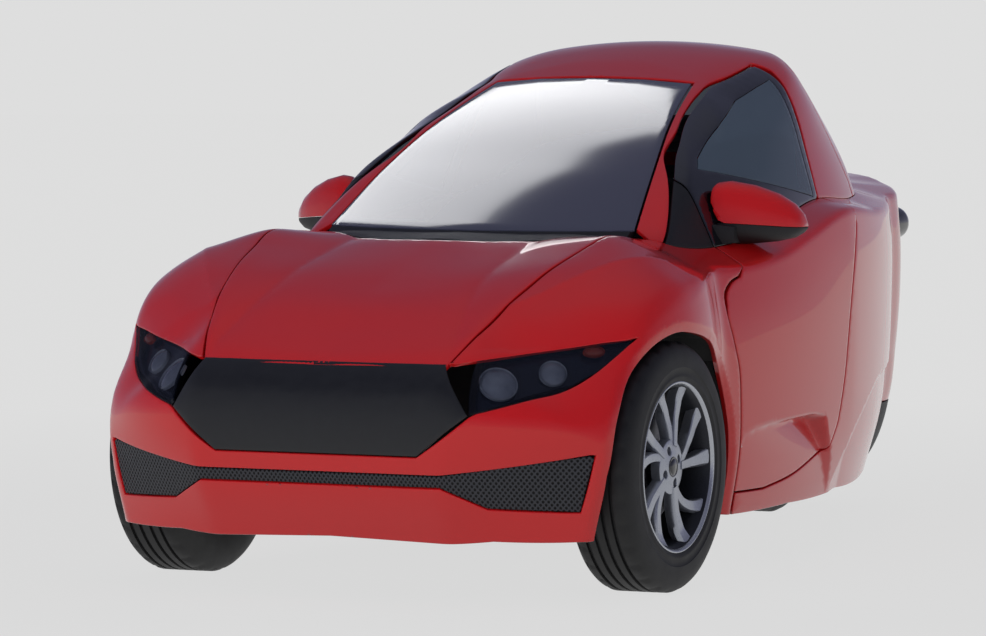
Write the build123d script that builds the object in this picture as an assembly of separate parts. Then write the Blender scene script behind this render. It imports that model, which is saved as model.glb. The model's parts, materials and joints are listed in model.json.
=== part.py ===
from build123d import *
from math import cos, sin, radians, pi, hypot
import os

os.makedirs("parts", exist_ok=True)

# ---------------------------------------------------------------- driving dimensions (mm)
# The car stands on z = 0, faces -Y, and its left side is +X. Stations s run back from the front axle.
FRONT_AXLE_Y = -1010.0
WHEELBASE = 2045.0
TYRE_R = 304.0
TYRE_WIDTH = 176.0
RIM_R = 207.6
RIM_WIDTH = 168.0
SPOKES = 5
SPOKE_PAIR = 0.62        # angle between the two spokes of a pair at the rim
HALF_TRACK = 622.0
KINGPIN_X = 562.0
DOOR_HINGE_X = 638.0
DOOR_HINGE_S = 500.0
DOOR_HINGE_HEIGHTS = (320.0, 620.0)
DOOR_HINGE_EYE_R = 9.0
DOOR_PIN_R = 5.0
BONNET_HINGE_S = 285.0
BONNET_HINGE_Z = 834.0
BONNET_PIN_R = 4.0
HATCH_PIN_R = 2.4
HATCH_EYE_R = 4.6
ARCH_INNER_X = 370.0
ARCH_ROOM = 12.0
LINER_SKIN = 8.0
COWL_X = 415.0
HATCH_HINGE_S = 1447.5
HATCH_HINGE_Z = 1296.0
SUBFRAME_TOP = 188.0
ARM_PIVOT_S = 1650.0
ARM_PIVOT_Z = 299.0
ARM_PIVOT_R = 16.0
STEERING_S = 792.0
STEERING_Z = 845.0
STEERING_TILT = 24.0
STEERING_R = 178.0

SHELL = 18.0            # painted panels
WALL = 65.0             # doors with their trim
ROOF_WALL = 34.0        # pillars and roof with their lining
GLASS = 5.0
FRAME_SKIN = 16.0       # black surround of the door glass
SHUT_GAP = 5.0          # between a moving panel and its surround
SEAM = 0.3              # between touching faces on different bodies
FLOOR_Z = 185.0
WELL_HALF = 142.0       # rear wheel housing, inside half width
WELL_R = 338.0          # and its inside radius

REAR_AXLE_S = WHEELBASE

# Plan outline of the lower body. Each level: z, then x and s of
# nose edge, corner middle, corner end, flare, waist, door, quarter, tail side, stern side, stern corner, stern end
PLAN_COLUMNS = ["nose", "corner_mid", "corner", "flare", "waist", "door", "quarter", "side_mid", "side",
                "stern_mid", "stern"]
PLAN = [
    (145, (315, -455), (490, -405), (650, -330), (690, -10), (630, 345), (640, 800), (596, 1230), (486, 1690),
     (286, 2120), (222, 2300), (120, 2400), 2425),
    (300, (325, -527), (495, -448), (683, -330), (727, -10), (655, 345), (668, 800), (632, 1230), (520, 1700),
     (330, 2160), (265, 2360), (150, 2480), 2520),
    (450, (330, -540), (540, -440), (698, -290), (731, -10), (660, 345), (675, 800), (645, 1230), (530, 1710),
     (345, 2170), (280, 2380), (160, 2510), 2550),
    (610, (325, -504), (505, -352), (690, -190), (728, -10), (653, 345), (675, 800), (648, 1230), (535, 1710),
     (350, 2180), (290, 2390), (170, 2520), 2560),
    (760, (300, -450), (470, -300), (675, -150), (700, -10), (630, 345), (660, 800), (645, 1230), (535, 1710),
     (350, 2180), (290, 2390), (170, 2520), 2560),
    (900, (280, -400), (440, -270), (650, -130), (670, -10), (605, 345), (640, 800), (630, 1230), (520, 1710),
     (340, 2170), (280, 2380), (165, 2510), 2545),
]
# the way each of those points moves when the wall is measured inwards
PLAN_INWARD = [(-0.3, 1), (-0.5, 0.85), (-0.9, 0.4), (-1, 0), (-1, 0), (-1, 0), (-1, 0), (-0.93, -0.35),
               (-0.93, -0.35), (-0.85, -0.5), (-0.6, -0.8)]
# Upper surface of the lower body. Each station: s, centre z, then x and z of crease, shut line, crown; side z
CROWN = [
    (-570, 535, (322, 540), (335, 538), (440, 500), 360),
    (-500, 566, (321, 572), (333, 572), (430, 555), 400),
    (-400, 628, (305, 636), (362, 641), (450, 586), 370),
    (-300, 692, (284, 697), (388, 702), (505, 656), 450),
    (-180, 744, (269, 752), (412, 760), (545, 735), 560),
    (0, 806, (262, 802), (441, 819), (600, 800), 610),
    (110, 836, (248, 826), (470, 850), (635, 790), 640),
    (280, 850, (248, 845), (480, 835), (655, 757), 690),
    (450, 850, (248, 845), (480, 825), (660, 752), 700),
    (735, 865, (248, 860), (480, 845), (668, 777), 720),
    (950, 900, (248, 895), (480, 880), (655, 826), 780),
    (1186, 935, (248, 925), (480, 912), (640, 871), 840),
    (1600, 945, (200, 940), (400, 918), (510, 872), 790),
    (2100, 930, (120, 925), (260, 905), (350, 873), 700),
    (2600, 915, (80, 912), (160, 900), (240, 873), 720),
]
CROWN_X = 780.0
# Plan outline of the cabin. Each level: z, s at the centre of the windscreen, then x and s of
# screen edge, pillar, door glass, quarter, tail corner; s at the centre of the tail glass
CABIN = [
    (740, 60, (455, 200), (520, 240), (590, 900), (480, 1720), (260, 2240), 2350),
    (850, 245, (421, 357), (492, 400), (562, 950), (452, 1720), (250, 2180), 2290),
    (1000, 515, (371, 588), (444, 612), (510, 1050), (398, 1710), (230, 2060), 2170),
    (1150, 829, (302, 875), (384, 920), (446, 1200), (330, 1650), (195, 1865), 1960),
    (1230, 1050, (262, 1060), (345, 1110), (396, 1300), (285, 1600), (165, 1740), 1820),
    (1330, 1260, (200, 1262), (290, 1300), (325, 1410), (215, 1560), (130, 1610), 1650),
]
# Roof. Each station: s, centre z, x and z of the shoulder, edge z
ROOF = [
    (0, 880, (350, 850), 740),
    (500, 1065, (350, 1030), 900),
    (1000, 1214, (300, 1192), 1060),
    (1400, 1300, (300, 1274), 1130),
    (1700, 1262, (300, 1228), 1080),
    (2000, 1130, (280, 1090), 950),
    (2400, 860, (260, 830), 700),
]
ROOF_X = 700.0

# Outlines of the openings and panels
ARCH = [(-332, 20), (-332, 304), (-302, 441), (-226, 545), (-122, 610), (-40, 630), (80, 622), (215, 588),
        (324, 528), (396, 388), (414, 261), (418, 20)]
NOSE_PANEL = [(322, 572), (395, 453), (270, 355)]
LAMP = [(330, 570), (398, 454), (462, 472), (520, 490), (575, 507), (619, 541), (651, 583), (679, 622),
        (624, 616), (563, 606), (503, 597), (444, 588), (386, 579)]
GRILLE = [(323, 308), (641, 355), (650, 350), (616, 222), (420, 230), (371, 255), (321, 280)]
BONNET = [(323, -700), (323, -496), (352, -424), (378, -340), (400, -248), (420, -135), (439, -11),
          (455, 90), (455, 180), (440, 260), (405, 275), (300, 190), (150, 115)]
BONNET_REAR_S = 95.0
SCREEN = [(421, 852), (371, 1000), (302, 1150), (277, 1198)]
DOOR = [(500, 738), (432, 718), (400, 690), (402, 662), (426, 583), (449, 512), (457, 400), (457, 206),
        (626, 203), (806, 222), (990, 257), (1052, 268), (1102, 332), (1140, 443), (1161, 539), (1190, 640),
        (1235, 760), (1275, 838), (1240, 930), (500, 930)]
DOOR_DECK = [(643, 522), (490, 600)]        # the door's front edge where it crosses the shoulder, x and s
DOOR_TUCK = 14.0        # how far the door's rear edge is set in at its inner side, to swing clear
DOOR_NOSE = 9.0         # and its front edge at the outer side, beyond the hinge line
SIDE_GLASS = [(300, 748), (360, 812), (670, 1040), (878, 1134), (1020, 1185), (1155, 1217), (1275, 1244),
              (1288, 1230), (1240, 905), (1200, 780)]
SAIL_REAR_S = 560.0       # fixed quarter ahead of the door glass frame
GLASS_CORNER = [(1256, 1300), (1256, 1239), (1270, 1216), (1262, 1100), (1340, 1100), (1340, 1300)]
SIDE_PANE = [(654, 700), (654, 994), (690, 1020), (885, 1106), (1025, 1156), (1155, 1188), (1239, 1206),
             (1208, 905), (1190, 700)]
HATCH = [(1450, 1340), (1450, 1236), (1560, 1075), (1655, 930), (2420, 916), (2420, 1340)]
HATCH_GLASS = [(175, 1560), (245, 1700), (225, 1900), (150, 2120)]


# ---------------------------------------------------------------- helpers
def at(x, s, z):
    return Vector(x, s + FRONT_AXLE_Y, z)


def line(a, b):
    return Edge.make_line(at(*a), at(*b))


def arc(a, m, b):
    return Edge.make_three_point_arc(at(*a), at(*m), at(*b))


def grow(points, amount):
    """Moves every side of a closed outline outwards by the amount."""
    n = len(points)
    area = sum(points[i][0] * points[(i + 1) % n][1] - points[(i + 1) % n][0] * points[i][1] for i in range(n))
    sign = 1 if area > 0 else -1
    out = []
    for i in range(n):
        (ax, ay), (bx, by), (cx, cy) = points[i - 1], points[i], points[(i + 1) % n]
        ux, uy = bx - ax, by - ay
        vx, vy = cx - bx, cy - by
        lu, lv = hypot(ux, uy), hypot(vx, vy)
        nux, nuy, nvx, nvy = uy / lu * sign, -ux / lu * sign, vy / lv * sign, -vx / lv * sign
        k = 1 + nux * nvx + nuy * nvy
        k = max(k, 0.5)
        out.append((bx + (nux + nvx) / k * amount, by + (nuy + nvy) / k * amount))
    return out


def prism(points, plane, low, high):
    """Solid from a closed outline: plane "xs" is (x, s) raised in z, "sz" is (s, z) along x, "xz" along s."""
    if plane == "xs":
        pts, way = [at(a, b, low) for a, b in points], Vector(0, 0, high - low)
    elif plane == "sz":
        pts, way = [at(low, a, b) for a, b in points], Vector(high - low, 0, 0)
    else:
        pts, way = [at(a, low, b) for a, b in points], Vector(0, high - low, 0)
    return Solid.extrude(Face(Wire.make_polygon(pts, close=True)), way)


def block(x0, x1, s0, s1, z0, z1):
    return prism([(x0, s0), (x1, s0), (x1, s1), (x0, s1)], "xs", z0, z1)


def rod(start, end, r):
    a, b = at(*start), at(*end)
    return Solid.make_cylinder(r, (b - a).length, Plane(origin=a, z_dir=(b - a)))


def both(points):
    """Closed outline across the centre line from the points of the left half, top to bottom."""
    return [(-a, b) for a, b in points] + [(a, b) for a, b in reversed(points)]


def mirrored(shape):
    return shape.mirror(Plane.YZ)


def fuse(first, *rest):
    for piece in rest:
        first = first + piece
    return first


def biggest(shape):
    return max(shape.solids(), key=lambda s: s.volume)


def plan_wire(row, inset=0.0):
    z, *points, end = row
    moved = [(x + dx * inset, s + ds * inset, z) for (x, s), (dx, ds) in zip(points, PLAN_INWARD)]
    p = dict(zip(PLAN_COLUMNS, moved))
    m = {k: (-x, s, z) for k, (x, s, z) in p.items()}
    spans = [("nose", "corner_mid", "corner"), ("corner", "flare", "waist"), ("waist", "door", "quarter"),
             ("quarter", "side_mid", "side"), ("side", "stern_mid", "stern")]
    edges = [line(m["nose"], p["nose"])]
    edges += [arc(p[a], p[b], p[c]) for a, b, c in spans]
    edges.append(arc(p["stern"], (0, end - inset, z), m["stern"]))
    edges += [arc(m[c], m[b], m[a]) for a, b, c in reversed(spans)]
    return Wire(edges)


def crown_wire(row, drop=0.0, bottom=60.0):
    s, z0, (x1, z1), (x2, z2), (x3, z3), z4 = row
    right = [(x1, s, z1 - drop), (x2, s, z2 - drop)]
    low = (CROWN_X, s, z4 - drop)
    mid = (x3 - drop * 0.6, s, z3 - drop * 0.8)
    f = [(-x, s_, z) for x, s_, z in right]
    top = (0, s, z0 - drop)
    return Wire([line(top, right[0]), line(right[0], right[1]), arc(right[1], mid, low),
                 line(low, (CROWN_X, s, bottom)), line((CROWN_X, s, bottom), (-CROWN_X, s, bottom)),
                 line((-CROWN_X, s, bottom), (-CROWN_X, s, z4 - drop)),
                 arc((-CROWN_X, s, z4 - drop), (-mid[0], s, mid[2]), f[1]), line(f[1], f[0]), line(f[0], top)])


def cabin_wire(row, inset=0.0):
    z, front, a, p, m, b, c, rear = row
    t = inset
    a, p, m = (a[0] - t * 0.6, a[1] + t), (p[0] - t, p[1] + t * 0.5), (m[0] - t, m[1])
    b, c = (b[0] - t * 0.95, b[1] - t * 0.3), (c[0] - t * 0.8, c[1] - t * 0.9)
    front, rear = front + t * 1.8, rear - t * 1.8
    r = [(x, s, z) for x, s in (a, p, m, b, c)]
    f = [(-x, s, z_) for x, s, z_ in r]
    return Wire([arc(f[0], (0, front, z), r[0]), line(r[0], r[1]), arc(r[1], r[2], r[3]), line(r[3], r[4]),
                 arc(r[4], (0, rear, z), f[4]), line(f[4], f[3]), arc(f[3], f[2], f[1]), line(f[1], f[0])])


def roof_wire(row, drop=0.0, bottom=500.0):
    s, z0, (x1, z1), z2 = row
    e, w = (ROOF_X, s, z2 - drop), (-ROOF_X, s, z2 - drop)
    r, f = (x1, s, z1 - drop), (-x1, s, z1 - drop)
    return Wire([arc(f, (0, s, z0 - drop), r), line(r, e), line(e, (ROOF_X, s, bottom)),
                 line((ROOF_X, s, bottom), (-ROOF_X, s, bottom)), line((-ROOF_X, s, bottom), w), line(w, f)])


def lower_body(inset, floor=None):
    """The lower body's outer form, or its inside surface at the given depth."""
    side = Solid.make_loft([plan_wire(r, inset) for r in PLAN])
    top = Solid.make_loft([crown_wire(r, inset) for r in CROWN], ruled=True)
    body = side & top
    if floor is not None:
        low = PLAN[0]
        body = body + Solid.extrude(Face(plan_wire((floor,) + low[1:], inset)), Vector(0, 0, low[0] - floor + 1))
    return body


def cabin_form(inset):
    side = Solid.make_loft([cabin_wire(r, inset) for r in CABIN])
    roof = Solid.make_loft([roof_wire(r, inset) for r in ROOF])
    return side & roof


NODES = {}


def node(name, shape):
    if len(shape.solids()) != 1:
        print("note:", name, "has", len(shape.solids()), "solids")
    NODES[name] = shape
    export_step(shape, f"parts/{name}.step")


# ---------------------------------------------------------------- master forms
body = lower_body(0)
body_in = lower_body(SHELL, floor=60)
wall_in = lower_body(WALL, floor=60)
cabin = cabin_form(0)
cabin_in = cabin_form(ROOF_WALL)
room = cabin_in + Solid.make_loft([cabin_wire(CABIN[0], ROOF_WALL + 60), cabin_wire(CABIN[1], ROOF_WALL)])

arch = prism(ARCH, "sz", ARCH_INNER_X, 900)
arch_room = prism(grow(ARCH, ARCH_ROOM), "sz", ARCH_INNER_X, 900)
LINER_X = ARCH_INNER_X - LINER_SKIN
arch_wide = prism(grow(ARCH, ARCH_ROOM + LINER_SKIN), "sz", LINER_X, 900)
nose_outline = both(NOSE_PANEL)
bonnet_outline = [(-x, s) for x, s in BONNET] + [(0, BONNET_REAR_S)] + list(reversed(BONNET))
well = fuse(rod((-WELL_HALF, REAR_AXLE_S, TYRE_R), (WELL_HALF, REAR_AXLE_S, TYRE_R), WELL_R),
            block(-WELL_HALF, WELL_HALF, REAR_AXLE_S - WELL_R, REAR_AXLE_S + WELL_R, 60, TYRE_R),
            block(-WELL_HALF, WELL_HALF, REAR_AXLE_S - WELL_R - 120, REAR_AXLE_S, 60, TYRE_R + 110))
WELL_SKIN = 6.0
well_wide = fuse(rod((-WELL_HALF - WELL_SKIN, REAR_AXLE_S, TYRE_R), (WELL_HALF + WELL_SKIN, REAR_AXLE_S, TYRE_R),
                     WELL_R + WELL_SKIN),
                 block(-WELL_HALF - WELL_SKIN, WELL_HALF + WELL_SKIN, REAR_AXLE_S - WELL_R - WELL_SKIN,
                       REAR_AXLE_S + WELL_R + WELL_SKIN, 60, TYRE_R),
                 block(-WELL_HALF - WELL_SKIN, WELL_HALF + WELL_SKIN, REAR_AXLE_S - WELL_R - 120 - WELL_SKIN,
                       REAR_AXLE_S, 60, TYRE_R + 110 + WELL_SKIN))

# ---------------------------------------------------------------- front end
front_shell = (body & block(-800, 800, -700, 720, 60, 1000)) - body_in
lamp_cut = prism(grow(LAMP, SEAM), "xz", -750, -90)
grille_cut = prism(grow(both(GRILLE), SEAM), "xz", -750, -200)
nose_cut = prism(grow(nose_outline, SEAM), "xz", -750, -380)
bonnet_cut = fuse(prism(grow(bonnet_outline, SHUT_GAP), "xs", 480, 1000),
                  block(390, 421, BONNET_HINGE_S - 60, BONNET_HINGE_S + 14, BONNET_HINGE_Z - 24, BONNET_HINGE_Z + 30),
                  block(-421, -390, BONNET_HINGE_S - 60, BONNET_HINGE_S + 14, BONNET_HINGE_Z - 24,
                        BONNET_HINGE_Z + 30))
bonnet_pin = rod((394, BONNET_HINGE_S, BONNET_HINGE_Z), (427, BONNET_HINGE_S, BONNET_HINGE_Z), BONNET_PIN_R)
(deck_x0, deck_s0), (deck_x1, deck_s1) = DOOR_DECK
deck_outline = [(300, 300), (900, 300), (900, deck_s0), (deck_x0, deck_s0), (deck_x1, deck_s1), (300, deck_s1)]
door_deck = prism(deck_outline, "xs", 731, 1000)
door_gap = prism(grow(DOOR, SHUT_GAP), "sz", 300, 900)
clip_gap = door_gap - prism(grow(deck_outline, -SHUT_GAP), "xs", 731 + SHUT_GAP, 1000)
sill_line = block(-800, 800, 457 - SHUT_GAP, 720, 60, 700)
clip = front_shell - arch - mirrored(arch) - lamp_cut - mirrored(lamp_cut) - grille_cut - nose_cut - bonnet_cut
clip = clip - clip_gap - mirrored(clip_gap) - sill_line - room
clip = biggest(clip - block(-COWL_X, COWL_X, 80, 720, 700, 1000))
clip = fuse(clip, bonnet_pin + block(422, 432, BONNET_HINGE_S - 10, BONNET_HINGE_S + 10, BONNET_HINGE_Z - 14,
                                     BONNET_HINGE_Z + 6),
            mirrored(bonnet_pin + block(422, 432, BONNET_HINGE_S - 10, BONNET_HINGE_S + 10, BONNET_HINGE_Z - 14,
                                        BONNET_HINGE_Z + 6)))
node("front_clip", clip)

node("nose_panel", biggest((body & prism(nose_outline, "xz", -750, -390)) - body_in))
lamp_gap = prism(grow(LAMP, SHUT_GAP), "xz", -750, -90)
nose_gap = prism(grow(nose_outline, SHUT_GAP), "xz", -750, -380)
bonnet = biggest((body & prism(bonnet_outline, "xs", 485, 1000)) - body_in - nose_gap - lamp_gap
                 - mirrored(lamp_gap))
for flip in (1, -1):
    eye = fuse(prism([(BONNET_HINGE_S - 40, BONNET_HINGE_Z - 16), (BONNET_HINGE_S, BONNET_HINGE_Z - 8),
                      (BONNET_HINGE_S, BONNET_HINGE_Z + 4), (BONNET_HINGE_S - 40, BONNET_HINGE_Z)], "sz",
                     *sorted((flip * 404, flip * 416))),
               rod((flip * 404, BONNET_HINGE_S, BONNET_HINGE_Z), (flip * 416, BONNET_HINGE_S, BONNET_HINGE_Z), 8))
    bonnet = bonnet + (eye - rod((flip * 400, BONNET_HINGE_S, BONNET_HINGE_Z),
                                 (flip * 420, BONNET_HINGE_S, BONNET_HINGE_Z), BONNET_PIN_R + SEAM))
node("bonnet", bonnet)
node("lower_grille", biggest((body & prism(both(GRILLE), "xz", -750, -210)) - body_in
                             - arch_wide - mirrored(arch_wide)))
lamp_in = lower_body(WALL + 10, floor=60)
lamp = biggest((body & prism(LAMP, "xz", -750, -100)) - lamp_in - arch_wide)
node("headlamp_left", lamp)
node("headlamp_right", mirrored(lamp))

for side, flip in (("left", 1), ("right", -1)):
    liner = ((body_in & arch_wide) - arch_room) & block(-800, 800, -700, 700, 150, 900)
    liner = biggest(liner - block(LINER_X - 20, ARCH_INNER_X + 12, -130, 130, 120, 560))
    node(f"wheel_liner_{side}", liner if flip == 1 else mirrored(liner))

# ---------------------------------------------------------------- floor, bulkheads and posts
inside = body_in
tub = inside & block(-700, 700, 230, 1720, 150, FLOOR_Z)
inner = LINER_X - SEAM
tub = tub - block(inner, 800, 200, 470, 100, 300) - block(-800, -inner, 200, 470, 100, 300) - well_wide
firewall = inside & block(-inner, inner, 230, 248, 150, 760)
rear_wall = (inside & block(-560, 560, 1556, 1576, 150, 800)) - well_wide
post = prism([(475, 150), (475, 400), (436, 525), (410, 600), (400, 740), (520, 740), (520, 150)],
             "sz", 460, 516)
cross = block(-530, 530, 440, 468, 700, 740)
tub = fuse(tub, firewall, rear_wall, post, mirrored(post), cross)
for z in DOOR_HINGE_HEIGHTS:
    arm = fuse(prism([(500, 476), (DOOR_HINGE_X, DOOR_HINGE_S - DOOR_HINGE_EYE_R),
                      (DOOR_HINGE_X, DOOR_HINGE_S + DOOR_HINGE_EYE_R), (500, 512)], "xs", z - 7, z + 7),
               rod((DOOR_HINGE_X, DOOR_HINGE_S, z - 7), (DOOR_HINGE_X, DOOR_HINGE_S, z + 7), DOOR_HINGE_EYE_R))
    arm = arm - rod((DOOR_HINGE_X, DOOR_HINGE_S, z - 9), (DOOR_HINGE_X, DOOR_HINGE_S, z + 9), DOOR_PIN_R + SEAM)
    tub = fuse(tub, arm, mirrored(arm))
rail_z = SUBFRAME_TOP + SEAM
rail = block(200, 240, -330, 240, rail_z, rail_z + 40)
tub = fuse(tub, rail, mirrored(rail), block(-240, 240, -340, -300, rail_z, rail_z + 40))
tub = tub + ((inside & block(-450, 450, 1570, 2330, 656, 668)) - well_wide)
bracket = block(WELL_HALF + WELL_SKIN + 2, WELL_HALF + WELL_SKIN + 26, 1570, ARM_PIVOT_S + 30, ARM_PIVOT_Z - 34,
                ARM_PIVOT_Z + 34)
tub = fuse(tub, bracket, mirrored(bracket))
node("floor_tub", tub)

# ---------------------------------------------------------------- sides, quarters and tail
rear_shell = (body & block(-800, 800, 457 - SHUT_GAP + 1, 2700, 60, 1000)) - body_in
hatch_hole = Solid.make_loft([cabin_wire(r, 24) for r in CABIN[:3]])
rear = rear_shell - door_gap - mirrored(door_gap) - hatch_hole - well_wide
tail_cut = block(-500, 500, 2120, 2700, 60, 300)
rear = rear - tail_cut
node("rear_body", biggest(rear))
node("tail_valance", biggest(((body & block(-500, 500, 2121, 2700, 60, 299)) - body_in) - well_wide))
pivot_bore = rod((-WELL_HALF - 20, ARM_PIVOT_S, ARM_PIVOT_Z), (WELL_HALF + 20, ARM_PIVOT_S, ARM_PIVOT_Z),
                 ARM_PIVOT_R + SEAM)
node("rear_liner", biggest(((body_in & well_wide) - well) - pivot_bore))

for side, flip in (("left", 1), ("right", -1)):
    pod = rod((236, 2330, 778), (236, 2492, 778), 46) - body
    pod = biggest(pod)
    node(f"tail_lamp_{side}", pod if flip == 1 else mirrored(pod))

# ---------------------------------------------------------------- cabin upper
cabin_shell = cabin - cabin_in - body
screen_outline = both(SCREEN)
screen_cut = prism(grow(screen_outline, SEAM), "xz", -200, 1075)
side_cut = prism(grow(SIDE_GLASS, SHUT_GAP), "sz", 100, 800)
hatch_cut = prism(grow(HATCH, SHUT_GAP), "sz", -800, 800)
side_cut = side_cut - block(0, 900, 0, SAIL_REAR_S, 600, 1400)
roof = cabin_shell - screen_cut - side_cut - mirrored(side_cut) - hatch_cut
roof = roof - block(-COWL_X, COWL_X, 0, 420, 700, 852)
HATCH_PIN = (HATCH_HINGE_S, HATCH_HINGE_Z)
roof = biggest(roof) - rod((-22, *HATCH_PIN), (22, *HATCH_PIN), HATCH_EYE_R + 2)
for flip in (1, -1):
    roof = roof + rod((flip * 24, *HATCH_PIN), (flip * 45, *HATCH_PIN), HATCH_EYE_R)
roof = roof + rod((-45, *HATCH_PIN), (45, *HATCH_PIN), HATCH_PIN_R)
node("roof_frame", roof)
glass_in = cabin_form(GLASS)
screen = biggest((cabin & prism(screen_outline, "xz", -200, 1070)) - glass_in)
node("windscreen", screen)
cowl_x = COWL_X - SEAM
cowl = (body & block(-cowl_x, cowl_x, BONNET_REAR_S - 40, 420, 700, 1000)) - body_in - bonnet_cut - cabin
node("cowl", biggest(cowl + ((cabin & block(-cowl_x, cowl_x, 0, 420, 780, 849)) - cabin_in - bonnet_cut)))

hatch_shell = (cabin & prism(HATCH, "sz", -800, 800)) - cabin_in - body
glass_outline = both(HATCH_GLASS)
hatch = biggest(hatch_shell - prism(glass_outline, "xs", 700, 1400))
for flip in (1, -1):
    hatch = hatch - rod((flip * 22, *HATCH_PIN), (flip * 47, *HATCH_PIN), HATCH_EYE_R + 2)
hatch = (hatch + rod((-20, *HATCH_PIN), (20, *HATCH_PIN), HATCH_EYE_R)) - rod(
    (-60, *HATCH_PIN), (60, *HATCH_PIN), HATCH_PIN_R + SEAM)
node("hatch", hatch)
node("hatch_glass", biggest((cabin & prism(grow(glass_outline, -SEAM), "xs", 700, 1400)) - glass_in - body))

# ---------------------------------------------------------------- doors
def tapered(outline, sections):
    """Solid along x from closed (s, z) outlines; each section moves the front and the rear points along s."""
    middle = (min(s for s, z in outline) + max(s for s, z in outline)) / 2
    wires = [Wire.make_polygon([at(x, s + (front if s < middle else rear), z) for s, z in outline], close=True)
             for x, front, rear in sections]
    return Solid.make_loft(wires, ruled=True)


door_block = tapered(DOOR, [(440, 0, -DOOR_TUCK), (480, 0, -DOOR_TUCK), (600, 0, 0), (646, 0, 0),
                            (676, DOOR_NOSE, 0), (900, DOOR_NOSE, 0)])
door_shape = (body & door_block) - wall_in - room - block(300, 575, 200, 475, 500, 1000)
door_shape = biggest(door_shape - door_deck - block(300, 575, 470, 640, 640, 780))
door_shape = door_shape - block(300, 532, 1200, 1300, 840, 1000)
for z in DOOR_HINGE_HEIGHTS:
    door_shape = door_shape - block(500, DOOR_HINGE_X + DOOR_HINGE_EYE_R + 5, 430, 530, z - 22, z + 22)
    door_shape = door_shape - block(500, 614, 380, 430, z - 22, z + 22)
    door_shape = door_shape + rod((DOOR_HINGE_X, DOOR_HINGE_S, z - 23), (DOOR_HINGE_X, DOOR_HINGE_S, z + 23),
                                  DOOR_PIN_R)
frame_in = cabin_form(FRAME_SKIN)
surround = (cabin & prism(SIDE_GLASS, "sz", 100, 800)) - frame_in - body
frame_shape = biggest(surround - block(100, 800, 200, SAIL_REAR_S + SHUT_GAP, 600, 1300)
                      - prism(SIDE_PANE, "sz", 100, 800) - prism(GLASS_CORNER, "sz", 100, 800))
glass_shape = biggest((cabin & prism(grow(SIDE_PANE, -SEAM), "sz", 100, 800)) - glass_in - body)

# Door mirror. Each section: x, then the low and high z and the front and rear s of an oval
MIRROR = [(530, 812, 958, 618, 708), (548, 805, 965, 623, 724), (600, 808, 954, 645, 752), (650, 813, 933, 672, 774),
          (685, 820, 909, 696, 784), (703, 832, 884, 716, 783), (711, 842, 862, 736, 774)]
ovals = []
for x, z0, z1, s0, s1 in MIRROR:
    centre = at(x, (s0 + s1) / 2, (z0 + z1) / 2)
    ovals.append(Wire.make_ellipse((s1 - s0) / 2, (z1 - z0) / 2,
                                   Plane(origin=centre, x_dir=(0, 1, 0), z_dir=(1, 0, 0))))
foot = prism([(590, 800), (650, 800), (650, 866), (602, 862)], "sz", 470, 560)
mirror = biggest(fuse(Solid.make_loft(ovals), foot) - cabin - body)
for side, flip in (("left", 1), ("right", -1)):
    for name, shape in (("door", door_shape), ("window_frame", frame_shape), ("side_glass", glass_shape),
                        ("mirror", mirror)):
        node(f"{name}_{side}", shape if flip == 1 else mirrored(shape))


# ---------------------------------------------------------------- wheels (built about the axle, outer face +x)
def turned(profile):
    """Revolves (x, r) points about the wheel's own axis."""
    face = Face(Wire.make_polygon([Vector(x, 0, r) for x, r in profile], close=True))
    return Solid.revolve(face, 360, Axis((0, 0, 0), (1, 0, 0)))


half = TYRE_WIDTH / 2
tyre = turned([(-half + 14, RIM_R - 12), (-half, 258), (-half + 24, TYRE_R - 1), (half - 24, TYRE_R - 1), (half, 258),
               (half - 14, RIM_R - 12)])
rw = RIM_WIDTH / 2
rim = turned([(-rw, RIM_R), (-rw, RIM_R - 9), (-rw + 14, 186), (20, 176), (rw - 12, 186), (rw, RIM_R - 9),
              (rw, RIM_R), (rw - 4, RIM_R), (rw - 9, RIM_R - 12.5), (-rw + 9, RIM_R - 12.5), (-rw + 4, RIM_R)])
hub = turned([(24, 0), (66, 0), (66, 62), (52, 70), (24, 70)])
for i in range(4):
    hub = hub - Solid.make_cylinder(9, 30, Plane(origin=(50, 42 * cos(i * pi / 2 + 0.4), 42 * sin(i * pi / 2 + 0.4)),
                                                 z_dir=(1, 0, 0)))
rim = rim + hub
for i in range(SPOKES):
    for lean, front in ((0.0, 68), (SPOKE_PAIR, 64)):
        edge = [(56, -0.13), (110, -0.02), (160, 0.10), (192, 0.21), (192, 0.11), (160, 0.01), (110, -0.13),
                (56, -0.34)]
        turns = [(r, a + lean * r / 192 + i * 2 * pi / SPOKES) for r, a in edge]
        way = [(r * cos(a), r * sin(a)) for r, a in turns]
        spoke = Solid.extrude(Face(Wire.make_polygon([Vector(front - 22, y, z) for y, z in way], close=True)),
                              Vector(22, 0, 0))
        rim = rim + spoke
disc = turned([(-4, 40), (24, 40), (24, 66), (16, 66), (16, 128), (-4, 128)])

PLACES = {"front_left": (HALF_TRACK, 0, 1), "front_right": (-HALF_TRACK, 0, -1), "rear": (0, REAR_AXLE_S, 1)}
for name, (x, s, flip) in PLACES.items():
    for piece, shape in (("tyre", tyre), ("rim", rim), ("brake_disc", disc)):
        if name == "rear" and piece == "brake_disc":
            continue
        put = (shape if flip == 1 else mirrored(shape)).moved(Location(at(x, s, TYRE_R)))
        node(f"{piece}_{name}", put)

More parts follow.
